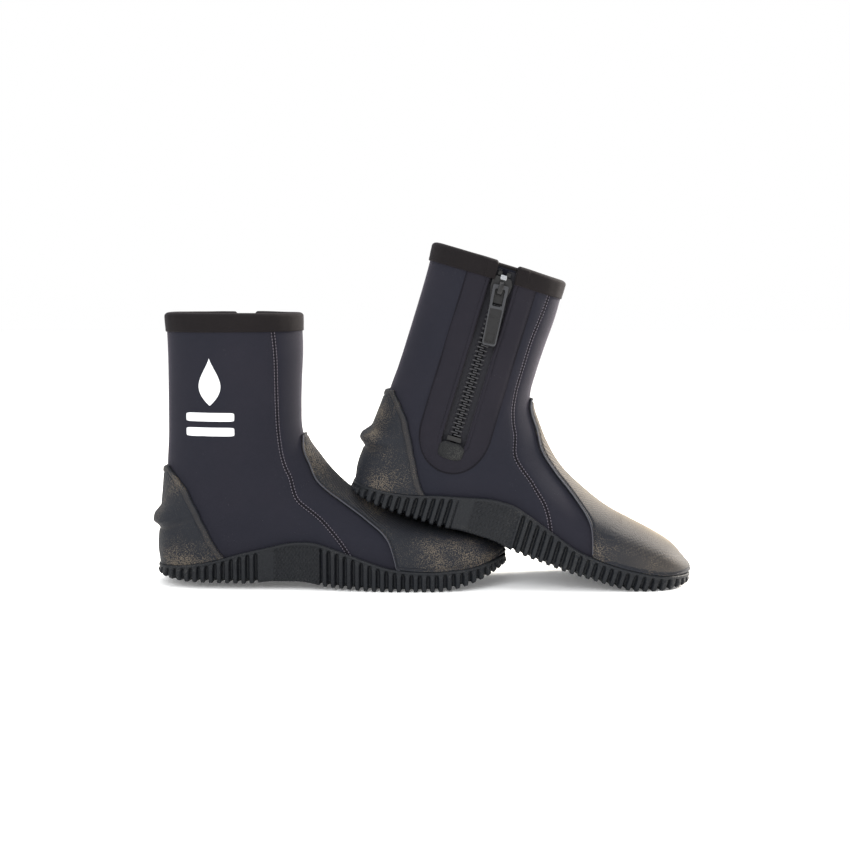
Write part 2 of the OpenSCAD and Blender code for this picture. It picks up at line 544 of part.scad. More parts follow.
for (s = ["right", "left"]) {
    if (shown(s, "outsole")) place(s) outsole();
    if (shown(s, "midsole")) place(s) midsole();
    if (shown(s, "insole")) place(s) insole();
    if (shown(s, "lateral_panel")) place(s) lateral_panel();
    if (shown(s, "medial_panel")) place(s) medial_panel();
    if (shown(s, "front_panel")) place(s) front_panel();
    if (shown(s, "zip_panel")) place(s) zip_panel();
    if (shown(s, "toe_cap")) place(s) toe_cap();
    if (shown(s, "heel_cap")) place(s) heel_cap();
    if (shown(s, "collar_binding")) place(s) collar_binding();
    if (shown(s, "zip_gusset")) place(s) zip_gusset();
    if (shown(s, "zip_tape_front")) place(s) zip_tape_front();
    if (shown(s, "zip_tape_rear")) place(s) zip_tape_rear();
    if (shown(s, "zip_teeth_front")) place(s) zip_teeth_front();
    if (shown(s, "zip_teeth_rear")) place(s) zip_teeth_rear();
    if (shown(s, "top_stops")) place(s) top_stops();
    if (shown(s, "bottom_stop")) place(s) bottom_stop();
    if (shown(s, "zip_end_patch")) place(s) zip_end_patch();
    if (shown(s, "slider_body")) place(s) slider_body();
    if (shown(s, "pull_tab")) place(s) pull_tab(s == "left" ? left_lean : 0);
    if (shown(s, "print_mark")) place(s) print_mark();
}
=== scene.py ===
"""Pair of zipped neoprene boots: the looks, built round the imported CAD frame.

Each boot is made once, in millimetres, in a right boot's own frame: +X to the toe, +Z up, -Y to
the outer side, x = 0 at the back of the heel and z = 0 under the sole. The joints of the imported
model say where the two boots stand.
"""
import json
import math

import bpy
import numpy as np
from mathutils import Matrix, Vector


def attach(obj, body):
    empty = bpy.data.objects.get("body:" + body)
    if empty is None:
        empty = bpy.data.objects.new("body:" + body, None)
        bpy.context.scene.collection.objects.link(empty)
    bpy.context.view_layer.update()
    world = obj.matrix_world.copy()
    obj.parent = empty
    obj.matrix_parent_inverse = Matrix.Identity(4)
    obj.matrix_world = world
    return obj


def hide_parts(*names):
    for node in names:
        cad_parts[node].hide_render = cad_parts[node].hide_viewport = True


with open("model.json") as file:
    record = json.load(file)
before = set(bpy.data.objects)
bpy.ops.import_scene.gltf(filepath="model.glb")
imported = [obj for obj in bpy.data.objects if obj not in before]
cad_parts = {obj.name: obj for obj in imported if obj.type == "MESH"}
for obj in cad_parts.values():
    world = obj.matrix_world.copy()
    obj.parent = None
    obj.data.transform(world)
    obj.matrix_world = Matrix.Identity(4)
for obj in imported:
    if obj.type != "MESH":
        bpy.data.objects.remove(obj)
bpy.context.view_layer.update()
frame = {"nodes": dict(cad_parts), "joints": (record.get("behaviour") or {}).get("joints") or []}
JOINTS = {joint["name"]: joint for joint in frame["joints"]}
MM = 0.001

# ---- sizes that the CAD model has too, in mm ----
BOOT_H = 225.0
COLLAR_X = 122.0
SHAFT_HALF = 36.0
NEO_T = 4.0
BINDING_H = 16.0
CAP_OFF, HEEL_OFF = 0.4, 0.75
CAP_T = 2.2
LEDGE_T = 2.6
WALL_T = 4.0
ZIP_X = 71.5
ZIP_Y = SHAFT_HALF - 4.8
SLIDER_Z = 202.0
HINGE = np.array([ZIP_X, SHAFT_HALF + 3, SLIDER_Z + 2])
TEETH, PITCH, TEETH_LOW = 34, 3.8, 79.0
PULL_L = 47.0
LEFT_LEAN = 5.0

# ---- the surface of the upper, a fan of sections from the collar (0) to the toe's tip (15) ----
# back point x, z; front point x, z; half width outside, inside; squareness of the sole side
STATIONS = np.array([
    [10, BOOT_H, COLLAR_X, BOOT_H, 37, 36, 2.0],
    [11, BOOT_H - 32, COLLAR_X + 1, BOOT_H - 30, 37, 36, 2.0],
    [11, BOOT_H - 66, COLLAR_X, BOOT_H - 56, 36, 36, 2.0],
    [10.5, 123, COLLAR_X - 0.5, 146, 36, 36, 2.0],
    [8.5, 87, 122, 131, 36, 36, 2.1],
    [5.5, 52, 125.5, 118, 36, 36, 2.4],
    [5, 25, 134.5, 105, 36.5, 36, 3.0],
    [16, 4, 146, 91, 37.5, 36.5, 3.5],
    [72, 2, 164, 75, 40, 38, 4.0],
    [122, 2, 187, 63, 44, 40, 4.0],
    [170, 2, 210, 54, 48, 43, 4.0],
    [211, 2, 234, 48.5, 49.5, 45, 4.0],
    [243, 4, 255, 44.5, 47, 45, 4.0],
    [267, 9, 271.5, 40, 38.5, 41, 3.6],
    [282, 16, 283, 33.5, 24, 29, 3.0],
    [290, 23, 290.5, 28.5, 8, 11, 2.5]])
LAST = len(STATIONS) - 1
TOP_ROUND = 2.1
# where things lie on it: section number and angle from the section's front
SEAM = {1: [[0, 42], [1.7, 37], [3, 35], [4.8, 29], [6.4, 28], [7.2, 35], [7.75, 44], [8.5, 66],
            [9.05, 85], [9.5, 101], [10.1, 128], [16, 180]],
        -1: [[0, 25], [1.75, 30.5], [3.4, 28.5], [4.9, 24.5], [6.4, 23.5], [7.5, 33], [8.4, 54],
             [8.9, 69], [9.3, 88], [9.6, 103], [10.2, 130], [16, 180]]}
TOE = {1: [[4.5, 7], [4.8, 10], [5.25, 13], [6.4, 15], [7.4, 19], [8.4, 31], [9.2, 52], [9.9, 72],
           [10.3, 88], [10.5, 100], [10.9, 125], [11.4, 150], [16, 180]],
       -1: [[4.5, 6], [4.8, 8.5], [5.3, 9], [6.4, 8], [7.6, 15], [8.1, 19.5], [8.8, 30], [9.7, 59],
            [10.3, 83], [10.65, 102], [11, 125], [11.5, 150], [16, 180]]}
HEEL = [[3.72, 166], [3.92, 156], [4.5, 141], [5.3, 131.5], [6.1, 127.5], [6.8, 126.5],
        [7.3, 132], [8, 142]]
TOE_TOP, HEEL_TOP = 4.5, 3.72
# heights along the sole
RIM = [[0, 16], [33, 19], [51, 22], [74, 29], [94, 33.5], [114, 38.5], [134, 39], [154, 32.5],
       [174, 25.5], [194, 18.5], [214, 16], [234, 15.5], [262, 18], [280, 23], [296, 27]]
UNDER = [[0, 13], [6, 10], [14, 7.5], [24, 6], [34, 5.2], [86, 4.8], [94, 7], [128, 7],
         [139, 3.8], [150, 2.6], [167, 1.3], [190, 0], [236, 0], [250, 2], [264, 6.5],
         [278, 12.5], [292, 20]]
FLOOR = [[0, 10], [128, 10], [145, 8], [167, 6.5], [195, 5], [236, 5], [250, 7], [264, 11],
         [278, 16], [292, 22.5]]
PANEL_LOW = [[0, 13.5], [139, 13], [167, 11.5], [195, 10], [236, 10], [250, 11.5], [264, 15],
             [278, 19.5], [292, 24.6]]


def table(x, rows):
    """A table's value at x, with the corners between its rows rounded."""
    rows = np.asarray(rows, float)
    reach = 0.035 * min(rows[-1, 0] - rows[0, 0], 12) if rows[-1, 0] < 20 else 7.0
    steps = np.array([-1, -0.6, -0.2, 0.2, 0.6, 1]) * reach
    return sum(np.interp(x + d, rows[:, 0], rows[:, 1]) for d in steps) / len(steps)


def smooth_step(x, low, high):
    t = np.clip((x - low) / (high - low), 0, 1)
    return t * t * (3 - 2 * t)


def section(u):
    u = np.clip(u, 0, LAST - 1e-4)
    i = np.floor(u).astype(int)
    f = (u - i)[..., None]
    b, c = STATIONS[i], STATIONS[i + 1]
    a = np.where((i > 0)[..., None], STATIONS[np.maximum(i - 1, 0)], 2 * b - c)
    d = np.where((i + 2 <= LAST)[..., None], STATIONS[np.minimum(i + 2, LAST)], 2 * c - b)
    return 0.5 * (2 * b + (c - a) * f + (2 * a - 5 * b + 4 * c - d) * f ** 2
                  + (3 * b - a - 3 * c + d) * f ** 3)


def ring(u, v):
    """The surface's point in section u at angle v: 0 front, 90 outer side, -90 inner side."""
    u, v = np.broadcast_arrays(np.asarray(u, float), np.asarray(v, float))
    s = section(u)
    bx, bz, fx, fz = (s[..., k] for k in range(4))
    half = np.hypot(fx - bx, fz - bz) / 2
    dx, dz = (fx - bx) / (2 * half), (fz - bz) / (2 * half)
    c, sn = np.cos(np.radians(v)), np.sin(np.radians(v))
    w = np.where(sn >= 0, s[..., 4], s[..., 5])
    k = (1 - c) / 2
    n = TOP_ROUND + (s[..., 6] - TOP_ROUND) * k * k * (3 - 2 * k)
    r = ((np.abs(c) / half) ** n + (np.abs(sn) / w) ** n) ** (-1 / n)
    return np.stack([(bx + fx) / 2 + dx * r * c, -r * sn, (bz + fz) / 2 + dz * r * c], -1)


def unit(p):
    return p / np.maximum(np.linalg.norm(p, axis=-1, keepdims=True), 1e-9)


def normals(u, v):
    h = 0.03
    du = ring(np.minimum(u + h, LAST), v) - ring(np.maximum(u - h, 0), v)
    dv = ring(u, v + 1.0) - ring(u, v - 1.0)
    return unit(np.cross(dv, du))


def skin(u, v, off):
    """The surface moved outwards by off."""
    return ring(u, v) + np.asarray(off, float)[..., None] * normals(u, v)


def bisect(test, low, high, steps=30):
    for _ in range(steps):
        mid = (low + high) / 2
        go = test(mid)
        low, high = np.where(go, mid, low), np.where(go, high, mid)
    return (low + high) / 2


def uv_at(x, z, sg):
    """Section and angle of the point seen at x, z from the outer (1) or inner (-1) side."""
    x, z = np.broadcast_arrays(np.asarray(x, float), np.asarray(z, float))

    def above(m):
        s = section(m)
        return (s[..., 2] - s[..., 0]) * (z - s[..., 1]) < (s[..., 3] - s[..., 1]) * (x - s[..., 0])

    u = bisect(above, np.zeros(x.shape), np.full(x.shape, float(LAST)))
    v = bisect(lambda m: ring(u, sg * m)[..., 0] > x, np.zeros(x.shape), np.full(x.shape, 180.0))
    return u, sg * v


def side_skin(x, z, sg, off):
    u, v = uv_at(x, z, sg)
    return skin(u, v, off)


def v_low(u, rows, sg, lift=0.0):
    """Angle at which section u comes down to a table's height plus lift."""
    def higher(m):
        p = ring(u, sg * m)
        return p[..., 2] > table(p[..., 0], rows) + lift
    return bisect(higher, np.full(u.shape, 40.0), np.full(u.shape, 180.0))


# ---- placing ----
def boot_matrix(side):
    """From the boot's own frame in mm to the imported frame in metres, read from the joints."""
    down = JOINTS[side + "_zip"]["axis"]
    turn = Matrix.Rotation(math.atan2(-down[0], -down[2]), 4, "Y")
    flip = Matrix.Diagonal((1, -1 if side == "left" else 1, 1, 1))
    inner = turn @ flip @ Matrix.Scale(MM, 4)
    pivot = Vector(JOINTS[side + "_pull_swing"]["pos_m"])
    return Matrix.Translation(pivot - inner @ Vector(HINGE)) @ inner


def signed_volume(points, faces):
    total = 0.0
    for k in range(1, faces.shape[1] - 1):
        a, b, c = points[faces[:, 0]], points[faces[:, k]], points[faces[:, k + 1]]
        total += np.einsum("ij,ij->i", a, np.cross(b, c)).sum()
    return total


def piece(side, name, points, faces, material, body=None, nodes=(), slot=None, wear_and_glare=None):
    """Makes one closed mesh from points in mm and quads or triangles, and lets it ride.

    Each point's value says how rubbed and dust-covered it is and, on the left toe cap, how much painted warm
    glare it carries, from 0 to 1."""
    matrix = np.array(boot_matrix(side))
    points = np.asarray(points, float).reshape(-1, 3) @ matrix[:3, :3].T + matrix[:3, 3]
    groups = [np.asarray(f, int) for f in faces if len(f)]
    if sum(signed_volume(points, f) for f in groups) < 0:
        groups = [f[:, ::-1] for f in groups]
    mesh = bpy.data.meshes.new(side + "_" + name)
    mesh.from_pydata(points.tolist(), [], [row for f in groups for row in f.tolist()])
    mesh.update()
    mesh.shade_smooth()
    mesh.materials.append(material)
    if wear_and_glare is not None:
        values = np.zeros(len(points), np.float32)
        values[:wear_and_glare.size] = wear_and_glare.ravel()
        mesh.attributes.new("wear_and_glare", "FLOAT", "POINT").data.foreach_set("value", values)
    obj = bpy.data.objects.new(side + "_" + name, mesh)
    bpy.context.scene.collection.objects.link(obj)
    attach(obj, body or side + "_boot")
    if nodes:
        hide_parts(*[side + "_" + n for n in nodes])
    return obj


def closed_grid(top, bottom):
    """Points and quads of the closed solid between two grids of the same size."""
    nr, nc = top.shape[:2]
    ids = np.arange(nr * nc).reshape(nr, nc)
    n = nr * nc
    a, b, c, d = ids[:-1, :-1], ids[:-1, 1:], ids[1:, 1:], ids[1:, :-1]
    outer = np.stack([a, b, c, d], -1).reshape(-1, 4)
    faces = [outer, outer[:, ::-1] + n]
    for r in (ids[0, ::-1], ids[-1, :], ids[:, 0], ids[::-1, -1]):
        faces.append(np.stack([r[:-1], r[:-1] + n, r[1:] + n, r[1:]], -1)[:, ::-1])
    return np.concatenate([top.reshape(-1, 3), bottom.reshape(-1, 3)]), faces


def tube_grid(rows):
    """Points and quads of a stack of closed loops; the first and last loops close on a middle line."""
    nr, nc = rows.shape[:2]
    ids = np.arange(nr * nc).reshape(nr, nc)
    nxt = np.roll(ids, -1, axis=1)
    body = np.stack([ids[:-1], nxt[:-1], nxt[1:], ids[1:]], -1).reshape(-1, 4)
    half = nc // 2
    j = np.arange(half - 1)
    caps = []
    for k, base in enumerate((0, (nr - 1) * nc)):
        quad = np.stack([j, j + 1, nc - 2 - j, nc - 1 - j], -1) + base
        caps.append(quad if k else quad[:, ::-1])
    return rows.reshape(-1, 3), [body] + caps


def spaced(length, n, edge, fine):
    """Fractions across rows of the given lengths: fine steps within edge mm of both sides."""
    length = np.maximum(np.asarray(length, float), 0.2)[:, None]
    e = np.minimum(edge, length * 0.3)
    k = np.linspace(0, 1, fine + 1)[None, :-1] ** 1.2
    mid = np.linspace(0, 1, n)[None, :]
    return np.concatenate([e * k, e + (length - 2 * e) * mid, length - (e * k)[:, ::-1]], 1) / length


def border(p, axis, end=False):
    """Distance of each grid point from the grid's first (or last) row or column, along the grid."""
    q = np.flip(p, axis) if end else p
    step = np.linalg.norm(np.diff(q, axis=axis), axis=-1)
    zero = np.zeros_like(np.take(step, [0], axis))
    d = np.concatenate([zero, np.cumsum(step, axis=axis)], axis)
    return np.flip(d, axis) if end else d


def rounded(d, r):
    """Drop of a surface at distance d from an edge that is rounded with radius r."""
    k = np.clip(1 - d / r, 0, 1)
    return r * (1 - np.sqrt(np.maximum(1 - k * k, 0)))


def waves(p, size, seed):
    """Smooth repeatable undulation between about -1 and 1, with bumps about size mm long."""
    total = 0.0
    for k in range(5):
        a = np.array([math.sin(seed + 2.1 * k), math.cos(1.7 * seed + 3.3 * k),
                      math.sin(0.6 * seed + 1.9 * k + 1)])
        a = a / np.linalg.norm(a) * (2 * math.pi / size) * (0.7 + 0.22 * k)
        total = total + np.sin(p @ a + 1.3 * k + seed) / (1.6 + 0.5 * k)
    return total / 1.8


def row_lengths(u, lo, hi):
    t = np.linspace(0, 1, 25)[None, :]
    p = ring(u[:, None], lo[:, None] * (1 - t) + hi[:, None] * t)
    return np.linalg.norm(np.diff(p, axis=1), axis=-1).sum(1)


# ---- materials ----
def new_material(name, color, roughness, specular=0.5):
    mat = bpy.data.materials.new(name)
    mat.use_nodes = True
    tree = mat.node_tree
    shader = tree.nodes["Principled BSDF"]
    shader.inputs["Base Color"].default_value = (*color, 1)
    shader.inputs["Roughness"].default_value = roughness
    shader.inputs["Specular IOR Level"].default_value = specular
    return mat, tree, shader


def add(tree, kind, **values):
    node = tree.nodes.new(kind)
    for key, value in values.items():
        if key in node.inputs:
            node.inputs[key].default_value = value
        else:
            setattr(node, key, value)
    return node


def coords(tree):
    return add(tree, "ShaderNodeTexCoord").outputs["Object"]


def noise(tree, where, scale, detail=3.0, rough=0.55):
    node = add(tree, "ShaderNodeTexNoise", Scale=scale, Detail=detail, Roughness=rough)
    tree.links.new(where, node.inputs["Vector"])
    return node.outputs["Fac"]


def ramp(tree, value, stops):
    node = add(tree, "ShaderNodeValToRGB")
    tree.links.new(value, node.inputs["Fac"])
    ends = node.color_ramp.elements
    while len(ends) < len(stops):
        ends.new(0.5)
    for element, (pos, color) in zip(ends, stops):
        element.position = pos
        element.color = (*color, 1)
    return node.outputs["Color"]


def math_node(tree, operation, a, b=None):
    node = add(tree, "ShaderNodeMath", operation=operation)
    for k, value in enumerate((a, b)):
        if value is None:
            continue
        if isinstance(value, (int, float)):
            node.inputs[k].default_value = value
        else:
            tree.links.new(value, node.inputs[k])
    return node.outputs[0]


def mix_color(tree, factor, a, b):
    node = add(tree, "ShaderNodeMix", data_type="RGBA")
    if isinstance(factor, (int, float)):
        node.inputs["Factor"].default_value = factor
    else:
        tree.links.new(factor, node.inputs["Factor"])
    for key, value in ((6, a), (7, b)):
        if isinstance(value, tuple):
            node.inputs[key].default_value = (*value, 1)
        else:
            tree.links.new(value, node.inputs[key])
    return node.outputs[2]


def bump(tree, shader, height, distance, strength=1.0, after=None):
    node = add(tree, "ShaderNodeBump", Strength=strength, Distance=distance)
    tree.links.new(height, node.inputs["Height"])
    if after:
        tree.links.new(after.outputs["Normal"], node.inputs["Normal"])
    tree.links.new(node.outputs["Normal"], shader.inputs["Normal"])
    return node


def specks(tree, where, scale, size):
    """1 inside small scattered grains, 0 elsewhere."""
    cells = add(tree, "ShaderNodeTexVoronoi", Scale=scale, Randomness=1.0)
    tree.links.new(where, cells.inputs["Vector"])
    return math_node(tree, "LESS_THAN", cells.outputs["Distance"], size)


def cloth(name, color, tint, knit, dust, sheen=0.1):
    """A matte knitted face: colour drift, a fine knit and a few pale specks of lint."""
    mat, tree, shader = new_material(name, color, 0.88, 0.15)
    where = coords(tree)
    drift = ramp(tree, noise(tree, where, 14.0), [(0.35, color), (0.7, tint)])
    lint = math_node(tree, "MULTIPLY", specks(tree, where, 520.0, 0.1),
                     math_node(tree, "GREATER_THAN", noise(tree, where, 45.0), dust))
    base = mix_color(tree, math_node(tree, "MULTIPLY", lint, 0.3), drift, (0.14, 0.14, 0.15))
    tree.links.new(base, shader.inputs["Base Color"])
    fine = noise(tree, where, knit, 2.0, 0.7)
    rows = add(tree, "ShaderNodeTexWave", Scale=knit * 0.35, Distortion=2.0, bands_direction="Z")
    tree.links.new(where, rows.inputs["Vector"])
    first = bump(tree, shader, fine, 0.0003, 0.5)
    bump(tree, shader, rows.outputs["Fac"], 0.0002, 0.35, first)
    shader.inputs["Sheen Weight"].default_value = sheen
    shader.inputs["Sheen Roughness"].default_value = 0.35
    shader.inputs["Sheen Tint"].default_value = (0.66, 0.58, 0.72, 1)
    return mat


def moulded(name, color, dust_and_glare_color, grain, dust_amount, roughness=0.62):
    """Moulded rubber: a grained face whose raised grains are rubbed pale and hold dust, and a per-point pale
    colour for rubbed, dust-covered parts, which on the left toe cap is also a painted warm glare.
    """
    mat, tree, shader = new_material(name, color, roughness, 0.2)
    where = coords(tree)
    cells = add(tree, "ShaderNodeTexVoronoi", Scale=grain, Randomness=1.0)
    tree.links.new(where, cells.inputs["Vector"])
    patchy = math_node(tree, "POWER", noise(tree, where, 22.0, 4.0), 3.0)
    worn = math_node(tree, "LESS_THAN", cells.outputs["Distance"],
                     math_node(tree, "MULTIPLY", patchy, 4 * dust_amount))
    # per-point pale colour: rubbing and dust, and on the left toe cap a painted warm glare
    rubbed = add(tree, "ShaderNodeAttribute", attribute_name="wear_and_glare").outputs["Fac"]
    amount = math_node(tree, "MAXIMUM", math_node(tree, "MULTIPLY", worn, 0.4), rubbed)
    drift = ramp(tree, noise(tree, where, 9.0), [(0.3, color), (0.75, tuple(1.3 * c for c in color))])
    tree.links.new(mix_color(tree, amount, drift, dust_and_glare_color), shader.inputs["Base Color"])
    first = bump(tree, shader, cells.outputs["Distance"], 0.0004, 0.6)
    bump(tree, shader, noise(tree, where, 900.0), 0.0002, 0.4, first)
    return mat


def plastic(name, color, roughness):
    mat, tree, shader = new_material(name, color, roughness, 0.35)
    where = coords(tree)
    scuffs = ramp(tree, noise(tree, where, 260.0, 6.0, 0.7),
                  [(0.3, (roughness,) * 3), (0.8, (roughness + 0.25,) * 3)])
    tree.links.new(scuffs, shader.inputs["Roughness"])
    bump(tree, shader, noise(tree, where, 700.0), 0.00008, 0.3)
    return mat


def woven(name, color):
    mat, tree, shader = new_material(name, color, 0.8, 0.3)
    where = coords(tree)
    warp = add(tree, "ShaderNodeTexWave", Scale=420.0, Distortion=0.6, bands_direction="X")
    weft = add(tree, "ShaderNodeTexWave", Scale=420.0, Distortion=0.6, bands_direction="Z")
    for node in (warp, weft):
        tree.links.new(where, node.inputs["Vector"])
    both = math_node(tree, "MAXIMUM", warp.outputs["Fac"], weft.outputs["Fac"])
    tint = ramp(tree, both, [(0.2, tuple(0.6 * c for c in color)), (0.9, tuple(1.5 * c for c in color))])
    tree.links.new(tint, shader.inputs["Base Color"])
    bump(tree, shader, both, 0.0003, 0.8)
    return mat


def printed(name, color):
    mat, tree, shader = new_material(name, color, 0.55, 0.4)
    where = coords(tree)
    worn = ramp(tree, noise(tree, where, 300.0, 5.0, 0.7),
                [(0.25, tuple(0.86 * c for c in color)), (0.5, color)])
    tree.links.new(worn, shader.inputs["Base Color"])
    bump(tree, shader, noise(tree, where, 1100.0), 0.0001, 0.4)
    return mat


MAT = {
    "neoprene": cloth("neoprene", (0.0104, 0.0110, 0.0170), (0.0132, 0.0128, 0.0190), 1500.0, 0.62, 0.2),
    "zip_neoprene": cloth("zip_neoprene", (0.0102, 0.0096, 0.0142), (0.0128, 0.0116, 0.0165),
                          1500.0, 0.66),
    "binding": cloth("binding", (0.0058, 0.0046, 0.0052), (0.0085, 0.0068, 0.0072), 1100.0, 0.66, 0.05),
    "gusset": cloth("gusset", (0.007, 0.0075, 0.013), (0.009, 0.009, 0.016), 1300.0, 0.75, 0.05),
    "insole": cloth("insole", (0.05, 0.052, 0.062), (0.062, 0.062, 0.072), 900.0, 0.7),
    "thread": cloth("thread", (0.078, 0.073, 0.092), (0.125, 0.113, 0.132), 2500.0, 0.9),
    "dark_thread": cloth("dark_thread", (0.0042, 0.004, 0.0062), (0.008, 0.0072, 0.011), 2500.0, 0.9,
                         0.03),
    # the cap rubber's pale golden colour stands for dust and, on the left toe cap, a painted warm glare
    "cap_rubber": moulded("cap_rubber", (0.0075, 0.0088, 0.0125), (0.23, 0.185, 0.13), 1300.0, 0.47),
    "sole_rubber": moulded("sole_rubber", (0.0058, 0.0068, 0.0088), (0.045, 0.044, 0.042), 800.0, 0.36,
                           0.55),
    # a pale rubber that paints the highlight along the toe cap's lip
    "lip_highlight_rubber": moulded("lip_highlight_rubber", (0.045, 0.046, 0.056), (0.08, 0.075, 0.07), 1300.0, 0.4),
    "patch_rubber": moulded("patch_rubber", (0.0045, 0.005, 0.0062), (0.06, 0.06, 0.055), 1500.0, 0.52),
    "foam": moulded("foam", (0.03, 0.032, 0.038), (0.05, 0.05, 0.055), 500.0, 0.3, 0.8),
    "zip_plastic": plastic("zip_plastic", (0.0045, 0.0045, 0.0052), 0.3),
    "teeth_plastic": plastic("teeth_plastic", (0.020, 0.020, 0.023), 0.34),
    "pull_plastic": plastic("pull_plastic", (0.0045, 0.0045, 0.0052), 0.22),
    # a lighter plastic that paints the highlight on the pull tab's rim
    "rim_highlight_plastic": plastic("rim_highlight_plastic", (0.026, 0.027, 0.031), 0.25),
    "stop_metal": plastic("stop_metal", (0.30, 0.31, 0.33), 0.3),
    "tape": woven("tape", (0.009, 0.009, 0.012)),
    "print": printed("print", (0.80, 0.81, 0.83)),
}
MAT["stop_metal"].node_tree.nodes["Principled BSDF"].inputs["Metallic"].default_value = 1.0


# ---- neoprene panels ----
def cloth_skin(u, v, seam_depth, seed, first=border):
    """Outer face of a panel: soft undulations, and a pinch along the seams at both ends of its rows."""
    p = ring(u, v)
    pinch = seam_depth[0] * np.exp(-(first(p, 1) / 2.6) ** 2)
    pinch += seam_depth[1] * np.exp(-(border(p, 1, True) / 2.6) ** 2)
    ankle = np.exp(-((p[..., 2] - 108) / 30) ** 2)
    soft = 0.35 * waves(p, 70, seed) + 0.55 * ankle * waves(p * np.array([0.6, 0.6, 1.6]), 42, seed + 2)
    return skin(u, v, soft - pinch)


def wall_panel(us, lo, hi, n, seam_depth, seed):
    t = spaced(row_lengths(us, lo, hi), n, 7, 6)
    v = lo[:, None] * (1 - t) + hi[:, None] * t
    u = np.repeat(us[:, None], v.shape[1], 1)
    return closed_grid(cloth_skin(u, v, seam_depth, seed), skin(u, v, np.full(u.shape, -NEO_T)))


def build_front(side):
    us = np.linspace(0.12, 13.5, 210)
    lo = -np.minimum(table(us, SEAM[-1]), v_low(us, PANEL_LOW, -1))
    hi = np.minimum(table(us, SEAM[1]), v_low(us, PANEL_LOW, 1))
    pts, faces = wall_panel(us, lo, hi, 70, (0.7, 0.7), 3)
    piece(side, "front_panel_cloth", pts, faces, MAT["neoprene"], nodes=["front_panel"], slot="neoprene")


def build_lateral(side):
    us = np.linspace(0.12, 9.66, 190)
    pts, faces = wall_panel(us, table(us, SEAM[1]), v_low(us, PANEL_LOW, 1), 90, (0.7, 0.15), 5)
    piece(side, "lateral_panel_cloth", pts, faces, MAT["neoprene"], nodes=["lateral_panel"],
          slot="neoprene")


U_MID, U_HALF, U_TOP, U_DEEP = 71.0, 29.0, 83.0, 35.0
SLOT_HALF, SLOT_TOP, SLOT_DEEP = 10.2, 76.0, 10.0
LEG_TOP = BOOT_H - 3.6
ZIP_PANEL_T = 2.4


def u_line(n_leg, n_round, mid, half, top, deep, high=LEG_TOP):
    """x and z down the front leg of a U, round its bottom and up the rear leg."""
    z = np.linspace(high, top, n_leg, endpoint=False)
    a = np.linspace(0, np.pi, n_round)
    x = np.concatenate([np.full(n_leg, mid + half), mid + half * np.cos(a), np.full(n_leg, mid - half)])
    return x, np.concatenate([z, top - deep * np.sin(a), z[::-1]])


def from_u(p, _):
    """Distance of a point from the zip panel's edge, as seen from the side."""
    dx, dz = p[..., 0] - U_MID, np.minimum(p[..., 2] - U_TOP, 0)
    spread = np.hypot(dx / U_HALF, dz / U_DEEP)
    slope = np.hypot(dx / U_HALF ** 2, dz / U_DEEP ** 2) / np.maximum(spread, 1e-6)
    return np.maximum(spread - 1, 0) / np.maximum(slope, 1e-6)


def build_medial(side):
    n_leg, n_round, n_out = 90, 60, 46
    ix, iz = u_line(n_leg, n_round, U_MID, U_HALF + 0.2, U_TOP, U_DEEP + 0.2)
    iu, iv = uv_at(ix, iz, -1)
    # the outer edge: down the front seam, back along the sole and up the back of the heel
    seam_end, heel_u, low_u, n_low = 9.55, 6.2, 6.3, 24
    us = np.concatenate([np.linspace(0.12, low_u, n_leg, endpoint=False),
                         np.linspace(low_u, seam_end, n_low)])
    ou = [us, np.linspace(seam_end, heel_u, n_round - n_low), np.linspace(heel_u, 0.12, n_leg)]
    ov = [-table(us, SEAM[-1]), -v_low(ou[1], PANEL_LOW, -1), np.full(n_leg, -180.0)]
    ou, ov = np.concatenate(ou), np.concatenate(ov)
    t = np.concatenate([np.linspace(0, 0.12, 8, endpoint=False), np.linspace(0.12, 0.9, n_out),
                        np.linspace(0.92, 1, 8)])[None, :]
    u = iu[:, None] * (1 - t) + ou[:, None] * t
    v = iv[:, None] * (1 - t) + ov[:, None] * t
    top = cloth_skin(u, v, (0.9, 0.6), 7, from_u)
    pts, faces = closed_grid(top, skin(u, v, np.full(u.shape, -NEO_T)))
    piece(side, "medial_panel_cloth", pts, faces, MAT["neoprene"], nodes=["medial_panel"],
          slot="neoprene")


def build_zip_panel(side):
    n_leg, n_round, n_out = 110, 60, 26
    ix, iz = u_line(n_leg, n_round, ZIP_X, SLOT_HALF, SLOT_TOP, SLOT_DEEP)
    ox, oz = u_line(n_leg, n_round, U_MID, U_HALF, U_TOP, U_DEEP)
    t = spaced(np.full(len(ix), 18.8), n_out, 3, 6)
    x = ix[:, None] * (1 - t) + ox[:, None] * t
    z = iz[:, None] * (1 - t) + oz[:, None] * t
    u, v = uv_at(x, z, -1)
    p = ring(u, v)
    lip = rounded(border(p, 1), 1.3) + 0.8 * np.exp(-(border(p, 1, True) / 2.2) ** 2)
    row = 0.35 * np.exp(-((border(p, 1) - 3.0) / 0.8) ** 2)
    soft = 0.25 * waves(p, 38, 11)
    pts, faces = closed_grid(skin(u, v, 0.15 + soft - lip - row),
                             skin(u, v, np.full(u.shape, -ZIP_PANEL_T)))
    piece(side, "zip_panel_cloth", pts, faces, MAT["zip_neoprene"], nodes=["zip_panel"], slot="neoprene")


# ---- collar binding ----
GAP_FRONT, GAP_REAR = 80.3, 64.5


